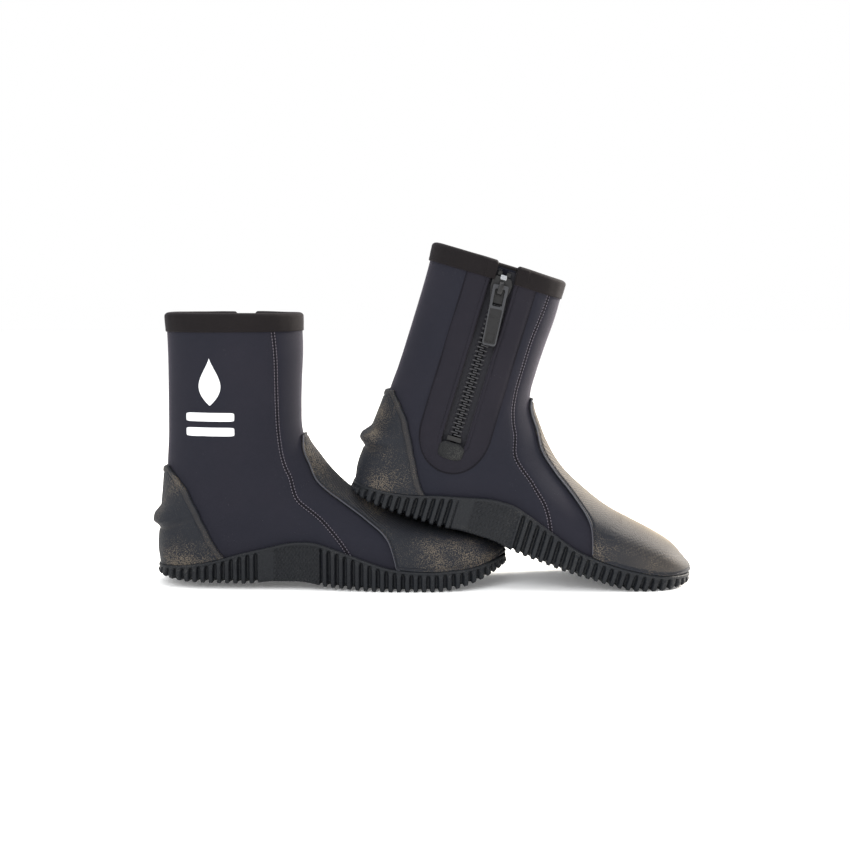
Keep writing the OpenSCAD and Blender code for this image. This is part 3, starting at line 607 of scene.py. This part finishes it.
def build_binding(side):
    _, (front_v,) = uv_at(np.array([GAP_FRONT]), np.array([BOOT_H - 0.1]), -1)
    _, (rear_v,) = uv_at(np.array([GAP_REAR]), np.array([BOOT_H - 0.1]), -1)
    # the folded tape's closed outline: depth below the edge in mm, and offset
    a = np.linspace(0, np.pi, 13)
    mid, half = -2.55, 4.2
    outer = [(BINDING_H - 0.3, 0.25), (BINDING_H, 0.6), (BINDING_H - 0.2, 1.1), (BINDING_H - 1.2, 1.25),
             (12.5, 1.35), (10, 1.45), (8, 1.55), (6, 1.6), (4.6, 1.65)]
    crown = [(3.2 - 3.2 * math.sin(k), mid + half * math.cos(k)) for k in a]
    inner = [(6, -6.75), (10, -6.7), (BINDING_H - 1, -6.5), (BINDING_H, -6.1), (BINDING_H - 0.6, -5.7),
             (10, -5.6), (5, -5.5), (3.9, -5.3), (3.5, -4.3), (3.5, -1.5), (3.9, 0.1), (5, 0.25), (10, 0.25)]
    shape = np.array(outer + crown + inner)
    n = 420
    v = np.linspace(front_v, 360 + rear_v, n)
    s = np.linspace(0, 1, n)
    length = 300.0
    near = np.minimum(s, 1 - s) * length
    depth = shape[None, :, 0] + 0.25 * waves(ring(np.zeros(n), v), 30, 4)[:, None]
    depth = depth + 2.2 * np.clip(1 - near / 3.0, 0, 1)[:, None] ** 2 * (1 - shape[None, :, 0] / BINDING_H)
    off = np.repeat(shape[None, :, 1], n, 0)
    # the two ends are folded over and so a little thicker, with a step where the fold stops
    fold = 0.55 * (1 - smooth_step(near, 12.2, 13.0))
    tuck = rounded(near, 1.0)
    ripple = 0.16 * waves(ring(np.zeros(n), v), 9, 8)
    stitch = 0.3 * np.exp(-((shape[:, 0] - 13.4) / 0.7) ** 2) * (shape[:, 1] > 0.5)
    out_side = (shape[:, 1] > -2.5).astype(float)[None, :]
    off = off + (fold + ripple - tuck)[:, None] * (2 * out_side - 1) * (np.abs(off - mid) > 3.4)
    off = off - stitch[None, :]
    rows = skin(np.clip(depth / 32.0, 0, 1), np.repeat(v[:, None], shape.shape[0], 1), off)
    rise = -np.minimum(depth, 0)
    rows[..., 2] += rise
    m = shape.shape[0]
    ids = np.arange(n * m).reshape(n, m)
    nxt = np.roll(ids, -1, axis=1)
    body = np.stack([ids[:-1], nxt[:-1], nxt[1:], ids[1:]], -1).reshape(-1, 4)
    pts = rows.reshape(-1, 3)
    ends = []
    for k, base in enumerate((0, (n - 1) * m)):
        middle = len(pts)
        pts = np.concatenate([pts, pts[base:base + m].mean(0)[None]])
        j = np.arange(m)
        tri = np.stack([j + base, np.full(m, middle), (j + 1) % m + base], -1)
        ends.append(tri if k else tri[:, ::-1])
    piece(side, "collar_binding_tape", pts, [body] + ends, MAT["binding"], nodes=["collar_binding"],
          slot="binding")


# ---- rubber caps ----
def ridge(q, sharp=1.0):
    """Rounded parallel ridges, one for each unit of q, between 0 and 1."""
    return (0.5 + 0.5 * np.cos(2 * math.pi * q)) ** sharp


def cap_edge(d):
    """A lip along the cap's edge, and the narrow groove inside it."""
    return (0.35 * np.exp(-((d - 1.0) / 0.55) ** 2) - 0.75 * np.exp(-((d - 2.5) / 0.55) ** 2)
            - rounded(d, 0.9))


def build_toe_cap(side):
    us = np.concatenate([np.linspace(TOE_TOP, 4.6, 8), np.linspace(4.62, 14.9, 330)])
    lo = -np.minimum(table(us, TOE[-1]), v_low(us, RIM, -1, 0.7))
    hi = np.minimum(table(us, TOE[1]), v_low(us, RIM, 1, 0.7))
    t = spaced(row_lengths(us, lo, hi), 190, 4, 10)
    v = lo[:, None] * (1 - t) + hi[:, None] * t
    u = np.repeat(us[:, None], v.shape[1], 1)
    p = ring(u, v)
    left, right, upper = border(p, 1), border(p, 1, True), border(p, 0)
    d = np.minimum(np.minimum(left, right), upper)
    # diagonal ribs over the instep, crossed by a second set towards the toe, fading down the sides
    across = (right - left) / 2
    height = p[..., 2] - table(p[..., 0], RIM)
    inside = smooth_step(d, 3.2, 4.5)
    top = smooth_step(height, 10, 20) * inside
    rib = ridge((p[..., 0] * 0.62 + across * 0.78) / 2.4)
    cross = ridge((p[..., 0] * 0.62 - across * 0.78) / 2.4)
    toe = smooth_step(p[..., 0], 205, 240)
    weave = rib * (1 - 0.35 * toe) + 0.55 * toe * cross
    relief = 0.5 * top * weave
    off = CAP_OFF + CAP_T + cap_edge(d) + relief + 0.3 * waves(p, 60, 6) * inside
    # dust and a painted warm glare lie on the upward-facing toe and along the instep, mostly on the left
    # boot, most on the ribs' tops
    up_dust_and_glare = np.clip(1 - np.abs(v) / 72, 0, 1) ** 1.3
    dust = (0.85 if side == "left" else 0.13) * up_dust_and_glare
    dust = dust * (0.55 + 0.45 * smooth_step(p[..., 0], 170, 270))
    if side == "left":
        dust = dust + 0.16 * smooth_step(p[..., 0], 200, 280)
    wear_and_glare = dust * (0.12 + 0.88 * np.where(top > 0.3, np.clip(weave, 0, 1), 0.6)) * inside
    pts, faces = closed_grid(skin(u, v, off), skin(u, v, np.full(u.shape, CAP_OFF)))
    piece(side, "toe_cap_rubber", pts, faces, MAT["cap_rubber"], nodes=["toe_cap"], slot="cap_rubber",
          wear_and_glare=wear_and_glare)
    # the cap's lip, a fine bead whose pale colour is a painted highlight
    for name, col in (("outer", -1), ("inner", 0)):
        keep = (us > TOE_TOP + 0.05) & (us < 10.6)
        line = line_on((us[keep], v[keep][:, col] * 0.995), 0.5, CAP_OFF + CAP_T - 0.35)
        bead = ribbon(line, 0.55, lambda w, s: 0.5 - rounded(0.55 - np.abs(w), 0.5) + 0 * s, 7, 0.3)
        piece(side, "toe_cap_lip_" + name, *bead, MAT["lip_highlight_rubber"], slot="cap_rubber")


def build_heel_cap(side):
    k = np.linspace(-1, 1, 200)
    k = np.sign(k) * (1 - (1 - np.abs(k)) ** 1.15)

    def heel_v(u, kk):
        return 180 + kk * (180 - table(u, HEEL))

    def above(m):
        p = ring(m, heel_v(m, k))
        return p[..., 2] > table(p[..., 0], RIM) + 0.7

    end = bisect(above, np.full(k.shape, 5.0), np.full(k.shape, 8.0))
    t = np.concatenate([np.linspace(0, 0.05, 8, endpoint=False), np.linspace(0.05, 1, 150)])[:, None]
    u = HEEL_TOP + (end[None, :] - HEEL_TOP) * t
    v = heel_v(u, k[None, :])
    p = ring(u, v)
    d = np.minimum(np.minimum(border(p, 1), border(p, 1, True)), border(p, 0))
    strip = 0.5 * smooth_step(5.2 - d, 0, 1.2) * smooth_step(d, 0, 1.5)
    groove = 0.45 * np.exp(-((d - 5.6) / 0.6) ** 2)
    # the fin strap's ledge: a swelling with a sharp underside, running down on to the sides
    turn = np.abs(v - 180)
    drop = (u - 4.45) - turn / 130
    knob = smooth_step(drop, 0.12, 0.42) * (1 - smooth_step(drop, 0.52, 0.70))
    ledge = (LEDGE_T + 2.4) * knob * np.clip(1 - turn / 34, 0, 1) ** 0.7
    ledge = ledge + 1.1 * smooth_step(drop, 0.3, 0.5) * (1 - smooth_step(drop, 0.52, 0.62)) \
        * np.clip(1 - turn / 52, 0, 1) ** 0.4
    crease = 0.8 * np.exp(-((drop - 0.72) / 0.06) ** 2) * np.clip(1 - turn / 50, 0, 1)
    off = HEEL_OFF + CAP_T + strip - groove + ledge - crease - rounded(d, 0.9)
    wear_and_glare = 0.08 * strip + 0.05 * crease
    pts, faces = closed_grid(skin(u, v, off), skin(u, v, np.full(u.shape, HEEL_OFF)))
    piece(side, "heel_cap_rubber", pts, faces, MAT["cap_rubber"], nodes=["heel_cap"], slot="cap_rubber",
          wear_and_glare=wear_and_glare)


# ---- outsole ----
RIM_BACK, RIM_TOE = 6.5, 287.5
BAR_PITCH = 6.7


def foot_loop(n):
    """Equally spaced points of the upper's outline at the rim's height, seen from above."""
    a = np.radians((np.arange(4 * n) + 0.5) * 360 / (4 * n))
    x = (RIM_BACK + RIM_TOE) / 2 + (RIM_TOE - RIM_BACK) / 2 * np.cos(a)
    y = np.empty_like(x)
    for sg in (1, -1):
        part = (np.sin(a) > 0) == (sg > 0)
        u, v = uv_at(x[part], table(x[part], RIM), sg)
        y[part] = ring(u, v)[..., 1]
    p = np.stack([x, y], -1)
    loop = np.concatenate([p, p[:1]])
    s = np.concatenate([[0], np.cumsum(np.linalg.norm(np.diff(loop, axis=0), axis=1))])
    want = np.arange(n) * s[-1] / n
    q = np.stack([np.interp(want, s, loop[:, 0]), np.interp(want, s, loop[:, 1])], -1)
    for _ in range(12):
        q = (np.roll(q, 1, 0) + 2 * q + np.roll(q, -1, 0)) / 4
    tangent = unit(np.roll(q, -1, 0) - np.roll(q, 1, 0))
    out = np.stack([tangent[:, 1], -tangent[:, 0]], -1)
    if (out * (q - q.mean(0))).sum() < 0:
        out = -out
    return q, out, want, s[-1]


def build_outsole(side):
    n = 1300
    q, out, s, length = foot_loop(n)
    x = q[:, 0]
    rim, under, floor = table(x, RIM), table(x, UNDER), table(x, FLOOR)
    count = round(length / BAR_PITCH)
    phase = np.abs((s * count / length) % 1 - 0.5) * 2
    groove = smooth_step(phase, 0.40, 0.78)
    # the waist has fine wavy ribs in place of bars, with a smooth strip behind them
    waist = smooth_step(x, 88, 90) * (1 - smooth_step(x, 139, 141))
    wavy = smooth_step(x, 101, 103) * (1 - smooth_step(x, 139, 141))
    bars = 1 - waist
    rows = [(0.4, floor), (0.4, rim), (1.2, rim + 0.35), (2.6, rim + 0.5), (WALL_T - 0.4, rim + 0.35)]
    tall = rim - under
    for f in np.linspace(0, 1, 34) ** 1.1:
        below = f * tall
        # each groove's top is scalloped: it starts highest in the groove's middle
        band = smooth_step(below - 1.6 - 3.0 * (1 - groove) * bars, 0, 1.3)
        low = smooth_step(tall - below, 0, 2.0)
        cut = 3.1 * groove * bars * band
        zig = np.abs(((rim - below) / 4.4) % 1 - 0.5) * 2
        fine = 1.2 * ridge(s / 3.0 + 0.7 * zig) * wavy * band * (0.4 + 0.6 * low)
        swell = 0.9 * (1 - groove) ** 2 * bars * smooth_step(below, 2.6, 5.0)
        bead = 0.35 * np.exp(-((below - 0.9) / 0.7) ** 2)
        edge = 1.2 * (1 - low) ** 2
        rows.append((WALL_T - cut - fine + swell + bead - edge,
                     rim - below + 2.8 * groove * bars * f ** 4))
    loops = []
    for off, z in rows:
        xy = q + np.broadcast_to(off, (n,))[:, None] * out
        loops.append(np.concatenate([xy, np.broadcast_to(z, (n,))[:, None]], 1))
    # the tread, from the bottom edge in to the middle line
    edge_xy = loops[-1][:, :2]
    middle = np.stack([np.clip(x, 36, 256), np.interp(x, [0, 120, 290], [-0.5, -2, -1])], -1)
    for r in np.linspace(0, 1, 34)[1:]:
        xy = edge_xy * (1 - r) + middle * r
        far = np.linalg.norm(xy - edge_xy, axis=1)
        z = table(xy[:, 0], UNDER)
        side_cut = 2.8 * groove * bars * (1 - smooth_step(far, 7, 9))
        slant = ridge((xy[:, 0] + 0.5 * np.abs(xy[:, 1])) / 9)
        chevron = smooth_step(far, 10, 11.5) * smooth_step(slant, 0.55, 0.75)
        loops.append(np.concatenate([xy, (z + side_cut + 1.4 * chevron)[:, None]], 1))
    inner = []
    for r in (1.0, 0.5):
        xy = (q + 0.4 * out) * (1 - r) + middle * r
        inner.append(np.concatenate([xy, table(xy[:, 0], FLOOR)[:, None]], 1))
    rows = np.stack(inner + loops)
    ids = np.arange(rows.shape[0] * n).reshape(rows.shape[0], n)
    nxt = np.roll(ids, -1, axis=1)
    body = np.stack([ids[:-1], nxt[:-1], nxt[1:], ids[1:]], -1).reshape(-1, 4)
    obj = piece(side, "outsole_rubber", rows.reshape(-1, 3), [body], MAT["sole_rubber"],
                nodes=["outsole"], slot="sole_rubber")
    weld = obj.modifiers.new("weld", "WELD")
    weld.merge_threshold = 0.00002


# ---- narrow pieces that follow a line on the surface ----
def line_on(points_uv, step, lift=0.0, aside=0.0):
    """Evenly spaced points, tangents, normals and distances along a line given by u and v."""
    u, v = points_uv
    p = ring(u, v)
    s = np.concatenate([[0], np.cumsum(np.linalg.norm(np.diff(p, axis=0), axis=1))])
    want = np.linspace(0, s[-1], max(int(s[-1] / step), 8))
    u, v = np.interp(want, s, u), np.interp(want, s, v)
    p = skin(u, v, np.full(u.shape, lift))
    n = normals(u, v)
    t = unit(np.gradient(p, axis=0))
    return p + aside * np.cross(n, t), t, n, want


def ribbon(line, half, profile, nw=15, deep=0.7):
    """A closed band along a line; profile gives its height for distance across and along."""
    p, t, n, s = line
    w = np.linspace(-half, half, nw)
    b = np.cross(n, t)
    flat = p[:, None, :] + w[None, :, None] * b[:, None, :]
    h = profile(w[None, :], s[:, None])
    return closed_grid(flat + h[..., None] * n[:, None, :], flat - deep * n[:, None, :])


def flatlock(w, s):
    """A sunken seam crossed by slanting threads."""
    slant = np.exp(-((((s / 2.4 + w / 4.0) % 1) - 0.5) / 0.16) ** 2) * (np.abs(w) < 1.5)
    return -0.45 + 0.3 * slant + 0.15 * np.exp(-(w / 0.5) ** 2)


def seam_line(sg, start=0.5, end=9.6):
    u = np.linspace(start, end, 300)
    return u, sg * table(u, SEAM[sg])


def joined(parts):
    """One set of points and faces from several."""
    points, faces, base = [], [], 0
    for pts, fs in parts:
        points.append(pts)
        faces += [np.asarray(f) + base for f in fs]
        base += len(pts)
    return np.concatenate(points), faces


def stitches(line, length, gap, radius, sink=0.1):
    """Short capsules laid end to end along a line."""
    p, t, n, s = line
    starts = np.arange(0.3, s[-1] - length, length + gap)
    a = np.linspace(0, 2 * math.pi, 6, endpoint=False)
    cuts = [(-0.5, 0.35), (-0.36, 0.9), (0.0, 1.0), (0.36, 0.9), (0.5, 0.35)]
    parts = []
    for start in starts:
        mid = start + length / 2
        centre = np.array([np.interp(mid, s, p[:, k]) for k in range(3)])
        tan = unit(np.array([np.interp(mid, s, t[:, k]) for k in range(3)]))
        nor = unit(np.array([np.interp(mid, s, n[:, k]) for k in range(3)]))
        bi = np.cross(nor, tan)
        rows = np.stack([centre + tan * c * length + nor * (radius * r * np.sin(a)[:, None] - sink)
                         + bi * (radius * 1.15 * r * np.cos(a)[:, None]) for c, r in cuts])
        parts.append(tube_grid(rows))
    return joined(parts)


def build_seams(side):
    for sg, name in ((1, "lateral"), (-1, "medial")):
        pts, faces = ribbon(line_on(seam_line(sg), 0.3), 1.9, flatlock, 21)
        piece(side, name + "_flatlock_seam", pts, faces, MAT["dark_thread"], slot="neoprene")
        rows = [stitches(line_on(seam_line(sg), 0.5, -0.25, aside), 1.7, 0.8, 0.36) for aside in (-1.3, 1.3)]
        piece(side, name + "_seam_stitches", *joined(rows), MAT["thread"], slot="neoprene")
    # the zip panel's outer seam
    x, z = u_line(60, 60, U_MID, U_HALF, U_TOP, U_DEEP, BOOT_H - BINDING_H)
    pts, faces = ribbon(line_on(uv_at(x, z, -1), 0.35), 0.8, lambda w, s: flatlock(w * 2, s) - 0.3, 13)
    piece(side, "zip_panel_seam", pts, faces, MAT["dark_thread"], slot="neoprene")
    # lockstitches round the slot and along the binding
    x, z = u_line(60, 50, ZIP_X, SLOT_HALF + 3.0, SLOT_TOP, SLOT_DEEP + 3.0, BOOT_H - BINDING_H)
    threads = stitches(line_on(uv_at(x, z, -1), 0.5, -0.1), 2.3, 0.7, 0.22)
    piece(side, "slot_stitches", *threads, MAT["dark_thread"], slot="neoprene")
    _, (v0,) = uv_at(np.array([GAP_FRONT + 1.5]), np.array([BOOT_H - 1]), -1)
    _, (v1,) = uv_at(np.array([GAP_REAR - 1.5]), np.array([BOOT_H - 1]), -1)
    v = np.linspace(v0, 360 + v1, 400)
    line = line_on((np.full(400, 13.4 / 32), v), 0.5, 1.15)
    piece(side, "binding_stitches", *stitches(line, 2.4, 0.8, 0.24), MAT["dark_thread"], slot="binding")


# ---- zip ----
def build_gusset(side):
    across = np.linspace(-24, 24, 40)
    z = np.linspace(57, 220.5, 120)
    x, zz = np.meshgrid(ZIP_X + across, z, indexing="ij")
    depth = np.interp(across, [-24, -15, -8, 0, 8, 15, 24], [7, 8.4, 10.2, 10.6, 10.2, 8.4, 7])[:, None]
    depth = 7 + (depth - 7) * np.clip((zz - 57) / 18, 0, 1)
    u, v = uv_at(x, zz, -1)
    drape = 0.3 * waves(ring(u, v), 26, 17)
    pts, faces = closed_grid(skin(u, v, -depth + drape * 0.5), skin(u, v, -depth - 1 + drape * 0.5))
    piece(side, "zip_gusset_cloth", pts, faces, MAT["gusset"], nodes=["zip_gusset"], slot="neoprene")


def superellipse(n, power):
    a = np.linspace(0, 2 * math.pi, n, endpoint=False)
    c, s = np.cos(a), np.sin(a)
    return np.sign(c) * np.abs(c) ** (2 / power), np.sign(s) * np.abs(s) ** (2 / power)


def tooth(z, sg):
    """One moulded tooth: a rounded head past the centre line, a neck and a foot on the tape."""
    a, b = superellipse(14, 4)
    cuts = [(-1.85, 0.25, 0.35), (-1.7, 0.62, 0.75), (-1.2, 0.82, 0.93), (-0.4, 0.84, 1.0),
            (0.5, 0.6, 0.98), (1.6, 0.62, 0.98), (2.6, 0.8, 1.0), (4.3, 0.82, 0.98),
            (4.7, 0.66, 0.8), (4.85, 0.3, 0.4)]
    rows = np.stack([np.stack([np.full(14, ZIP_X + sg * c), ZIP_Y + 2.3 * h * b, z + w * a], -1)
                     for c, w, h in cuts])
    return tube_grid(rows)


def build_zip(side):
    for sg, name, shift in ((1, "front", 0.8), (-1, "rear", 0.8 + PITCH / 2)):
        parts = [tooth(TEETH_LOW + i * PITCH + shift, sg) for i in range(TEETH)]
        piece(side, "zip_teeth_" + name + "_row", *joined(parts), MAT["teeth_plastic"],
              nodes=["zip_teeth_" + name], slot="zip_plastic")
    for node in ("top_stops", "bottom_stop", "zip_tape_front", "zip_tape_rear", "midsole", "insole"):
        obj = frame["nodes"][side + "_" + node]
        mat = {"top_stops": "zip_plastic", "bottom_stop": "zip_plastic", "midsole": "foam",
               "insole": "insole"}.get(node, "tape")
        obj.data.materials.clear()
        obj.data.materials.append(MAT[mat])


def build_end_patch(side):
    n, rings = 96, 14
    a, b = superellipse(n, 3.2)
    rows = []
    for r in np.linspace(0.02, 1, rings):
        x, z = ZIP_X + 10.5 * r * a, 66.5 + 7 * r * b
        rows.append((x, z, 0.3 + 0.9 * (1 - r ** 8)))
    top = np.stack([side_skin(x, z, -1, np.full(n, h)) for x, z, h in rows])
    low = np.stack([side_skin(x, z, -1, np.full(n, 0.25)) for x, z, h in rows])
    pts, faces = tube_grid(np.concatenate([low, top[::-1]]))
    piece(side, "zip_end_patch_rubber", pts, faces, MAT["patch_rubber"], nodes=["zip_end_patch"],
          slot="cap_rubber")


# ---- slider and pull tab ----
def plate(outline, y0, y1, bevel, holes=()):
    """A flat plate with rounded edges, from outlines in x and z; returns points and faces."""
    curve = bpy.data.curves.new("plate", "CURVE")
    curve.dimensions = "2D"
    curve.fill_mode = "BOTH"
    curve.extrude = (y1 - y0) / 2 - bevel
    curve.bevel_depth = bevel
    curve.offset = -bevel
    curve.bevel_resolution = 2
    for loop in (outline, *holes):
        spline = curve.splines.new("POLY")
        spline.points.add(len(loop) - 1)
        for point, (x, z) in zip(spline.points, loop):
            point.co = (x, z, 0, 1)
        spline.use_cyclic_u = True
    obj = bpy.data.objects.new("plate", curve)
    bpy.context.scene.collection.objects.link(obj)
    mesh = bpy.data.meshes.new_from_object(obj)
    co = np.array([v.co for v in mesh.vertices])
    pts = np.stack([co[:, 0], (y0 + y1) / 2 + co[:, 2], co[:, 1]], -1)
    faces = [np.array([list(f.vertices)]) for f in mesh.polygons]
    bpy.data.objects.remove(obj)
    bpy.data.meshes.remove(mesh)
    return pts, faces


def rounded_outline(corners, radius, n=6):
    """A closed outline whose corners are rounded."""
    result = []
    corners = [np.array(c, float) for c in corners]
    for i, c in enumerate(corners):
        before, after = corners[i - 1], corners[(i + 1) % len(corners)]
        r = min(radius, np.linalg.norm(before - c) * 0.45, np.linalg.norm(after - c) * 0.45)
        start, end = c + unit(before - c) * r, c + unit(after - c) * r
        for t in np.linspace(0, 1, n):
            result.append((1 - t) ** 2 * start + 2 * t * (1 - t) * c + t * t * end)
    return result


def bar(path, half_w, half_t, n=16, power=3.0):
    """A rounded bar of width 2 * half_w along x, swept along a path in y and z."""
    path = np.asarray(path, float)
    t = unit(np.gradient(path, axis=0))
    a, b = superellipse(n, power)
    rows = []
    for k, (p, d) in enumerate(zip(path, t)):
        shrink = 0.75 if k in (0, len(path) - 1) else 1.0
        rows.append(np.stack([ZIP_X + half_w * a * shrink, p[0] - d[1] * half_t * b * shrink,
                              p[1] + d[0] * half_t * b * shrink], -1))
    return tube_grid(np.stack(rows))


def shift(loop, x, z):
    return [(p[0] + x, p[1] + z) for p in loop]


def build_slider(side):
    shield = rounded_outline([(-6.6, 11), (6.6, 11), (8.4, 7.6), (8.2, 1), (5.6, -9), (4.6, -11),
                              (-4.6, -11), (-5.6, -9), (-8.2, 1), (-8.4, 7.6)], 2.2)
    shield = shift(shield, ZIP_X, SLIDER_Z)
    near, far = ZIP_Y + 2.6, ZIP_Y - 2.6
    parts = [plate(shield, near, near + 1.7, 0.45), plate(shield, far - 1.6, far, 0.45)]
    post = shift(rounded_outline([(-1.6, 5.8), (1.6, 5.8), (1.2, 10.6), (-1.2, 10.6)], 0.6), ZIP_X, SLIDER_Z)
    parts.append(plate(post, far - 0.2, near + 0.2, 0.05))
    for sg in (-1, 1):
        flange = [(sg * 5.4, 9), (sg * 7, 8), (sg * 6.6, -2), (sg * 5.6, -7), (sg * 4.6, -7), (sg * 5.2, 0)]
        flange = shift(rounded_outline(flange, 0.5), ZIP_X, SLIDER_Z)
        parts.append(plate(flange, near - 1.1, near + 0.2, 0.2))
    # the crown: up from the plate, over the pull tab's bar and down again
    top, low = HINGE[2] + 4.2, HINGE[2] - 5.2
    y0, y1 = near + 1.4, HINGE[1] + 1.95
    a = np.linspace(0, math.pi / 2, 7)
    path = [(y0, top - 0.3)]
    path += [(y1 - 2.4 + 2.4 * math.sin(k), top - 2.4 * (1 - math.cos(k))) for k in a]
    path += [(y1, z) for z in np.linspace(top - 3.4, low + 3.4, 5)]
    path += [(y1 - 2.4 + 2.4 * math.cos(k), low + 2.4 * (1 - math.sin(k))) for k in a] + [(y0, low)]
    parts.append(bar(path, 2.0, 0.75))
    outline = rounded_outline([(-2.6, 12.6), (2.6, 12.6), (2.6, 8.6), (-2.6, 8.6)], 0.8)
    saddle = plate(shift(outline, ZIP_X, SLIDER_Z),
                   near + 1.5, near + 3.4, 0.5)
    piece(side, "slider_saddle", *saddle, MAT["stop_metal"], side + "_slider", slot="stop_metal")
    piece(side, "slider_shell", *joined(parts), MAT["zip_plastic"], side + "_slider",
          ["slider_body"], "zip_plastic")


def build_pull(side):
    lean = math.radians(LEFT_LEAN if side == "left" else 0)
    outer = rounded_outline([(-5.9, 2.3), (5.9, 2.3), (6.3, 0.8), (5.6, 2 - PULL_L), (4.6, -PULL_L),
                             (-4.6, -PULL_L), (-5.6, 2 - PULL_L), (-6.3, 0.8)], 1.4)
    window = rounded_outline([(-4.1, -0.8), (4.1, -0.8), (3.9, -15), (-3.9, -15)], 1.6)
    recess = rounded_outline([(-3.4, 10.5 - PULL_L), (3.4, 10.5 - PULL_L), (3.2, 3 - PULL_L),
                              (-3.2, 3 - PULL_L)], 1.2)
    inset = rounded_outline([(-4.9, -17), (4.9, -17), (4.5, 1.6 - PULL_L), (-4.5, 1.6 - PULL_L)], 1.2)
    back = plate(outer, -1.2, -0.3, 0.25, [window])
    middle = plate(outer, -0.4, 0.85, 0.1, [window, recess])
    rim = plate(outer, 0.7, 1.25, 0.22, [window, inset])
    a, b = superellipse(16, 2.0)
    rod = tube_grid(np.stack([np.stack([np.full(16, x), r * a, r * b], -1)
                              for x, r in ((-5.4, 0.8), (-5.0, 1.0), (5.0, 1.0), (5.4, 0.8))]))
    c, sn = math.cos(lean), math.sin(lean)
    turn = np.array([[c, 0, -sn], [0, 1, 0], [sn, 0, c]])
    # the tab's rim is made in a lighter plastic, a painted highlight along its edge
    pts, faces = rim
    piece(side, "pull_tab_rim", pts @ turn.T + HINGE, faces, MAT["rim_highlight_plastic"], side + "_pull",
          slot="pull_plastic")
    pts, faces = joined([back, middle, rod])
    piece(side, "pull_tab_moulding", pts @ turn.T + HINGE, faces, MAT["pull_plastic"], side + "_pull",
          ["pull_tab"], "pull_plastic")


# ---- the printed mark: a drop over two bars ----
def decal(x, z, n_rings=24):
    """A thin printed patch on the outer side, from a closed outline round its own middle."""
    cx, cz = x.mean(), z.mean()
    rs = np.linspace(0.02, 1, n_rings)[:, None]
    xx, zz = cx + (x - cx)[None, :] * rs, cz + (z - cz)[None, :] * rs
    u, v = uv_at(xx, zz, 1)
    soft = 0.35 * waves(ring(u, v), 70, 5)
    top = skin(u, v, soft + 0.42 - 0.15 * rs ** 12)
    low = skin(u, v, soft * 0 - 0.5)
    return tube_grid(np.concatenate([low, top[::-1]]))


def build_print(side):
    parts = []
    for z in (128.5, 140.5):
        a, b = superellipse(120, 9)
        parts.append(decal(50 + 20 * a, z + 3.5 * b))
    t = np.linspace(0, 1, 70)
    half = 0.15 + 10.5 * np.sin(np.pi * t ** 1.45) ** 0.9 * (1 - 0.25 * t)
    z = 150 + 38 * t
    parts.append(decal(np.concatenate([50 + half[::-1], 50 - half]), np.concatenate([z, z[::-1]])))
    piece(side, "print_mark_ink", *joined(parts), MAT["print"], nodes=["print_mark"], slot="print")


BUILDERS = (build_front, build_lateral, build_medial, build_zip_panel, build_binding, build_toe_cap,
            build_heel_cap, build_outsole, build_seams, build_gusset, build_zip, build_end_patch,
            build_slider, build_pull, build_print)
for side in ("right", "left"):
    for build in BUILDERS:
        build(side)


# ---- floor, light and camera ----
def build_floor():
    mesh = bpy.data.meshes.new("floor")
    size = 6.0
    mesh.from_pydata([(-size, -size, 0), (size, -size, 0), (size, size, 0), (-size, size, 0)], [],
                     [(0, 1, 2, 3)])
    mat, tree, shader = new_material("floor", (0.93, 0.93, 0.925), 0.75, 0.1)
    shader.inputs["Emission Color"].default_value = (1, 1, 1, 1)
    shader.inputs["Emission Strength"].default_value = 0.12
    mesh.materials.append(mat)
    obj = bpy.data.objects.new("floor", mesh)
    bpy.context.scene.collection.objects.link(obj)


def area_light(name, place, target, size, power, color=(1, 1, 1)):
    data = bpy.data.lights.new(name, "AREA")
    data.size = size
    data.energy = power
    data.color = color
    obj = bpy.data.objects.new(name, data)
    obj.location = place
    obj.rotation_euler = (Vector(target) - Vector(place)).to_track_quat("-Z", "Y").to_euler()
    bpy.context.scene.collection.objects.link(obj)


def build_light():
    world = bpy.data.worlds.new("studio")
    world.use_nodes = True
    world.node_tree.nodes["Background"].inputs["Color"].default_value = (1, 1, 1, 1)
    world.node_tree.nodes["Background"].inputs["Strength"].default_value = 1.0
    bpy.context.scene.world = world
    middle = (0, 0, 0.12)
    area_light("front", (-0.7, -1.6, 1.3), middle, 1.4, 26, (0.96, 0.98, 1.0))
    area_light("back_right", (1.5, 0.8, 0.9), (0.12, 0, 0.15), 0.8, 105, (1.0, 0.93, 0.84))
    area_light("top", (0.1, 0.1, 1.9), middle, 1.6, 20)
    bpy.context.scene.view_settings.view_transform = "Standard"


CAM_DISTANCE, CAM_TURN, CAM_HEIGHT = 1.25, 0.5, 0.252
AIM = Vector((0.0022, 0.0, 0.131))
VIEW_WIDTH = 0.706


def build_camera():
    data = bpy.data.cameras.new("camera")
    data.sensor_width = 36
    data.lens = 36 * CAM_DISTANCE / VIEW_WIDTH
    obj = bpy.data.objects.new("camera", data)
    turn = math.radians(CAM_TURN)
    obj.location = (AIM.x + CAM_DISTANCE * math.sin(turn), -CAM_DISTANCE * math.cos(turn), CAM_HEIGHT)
    obj.rotation_euler = (AIM - obj.location).to_track_quat("-Z", "Y").to_euler()
    bpy.context.scene.collection.objects.link(obj)
    bpy.context.scene.camera = obj


build_floor()
build_light()
build_camera()
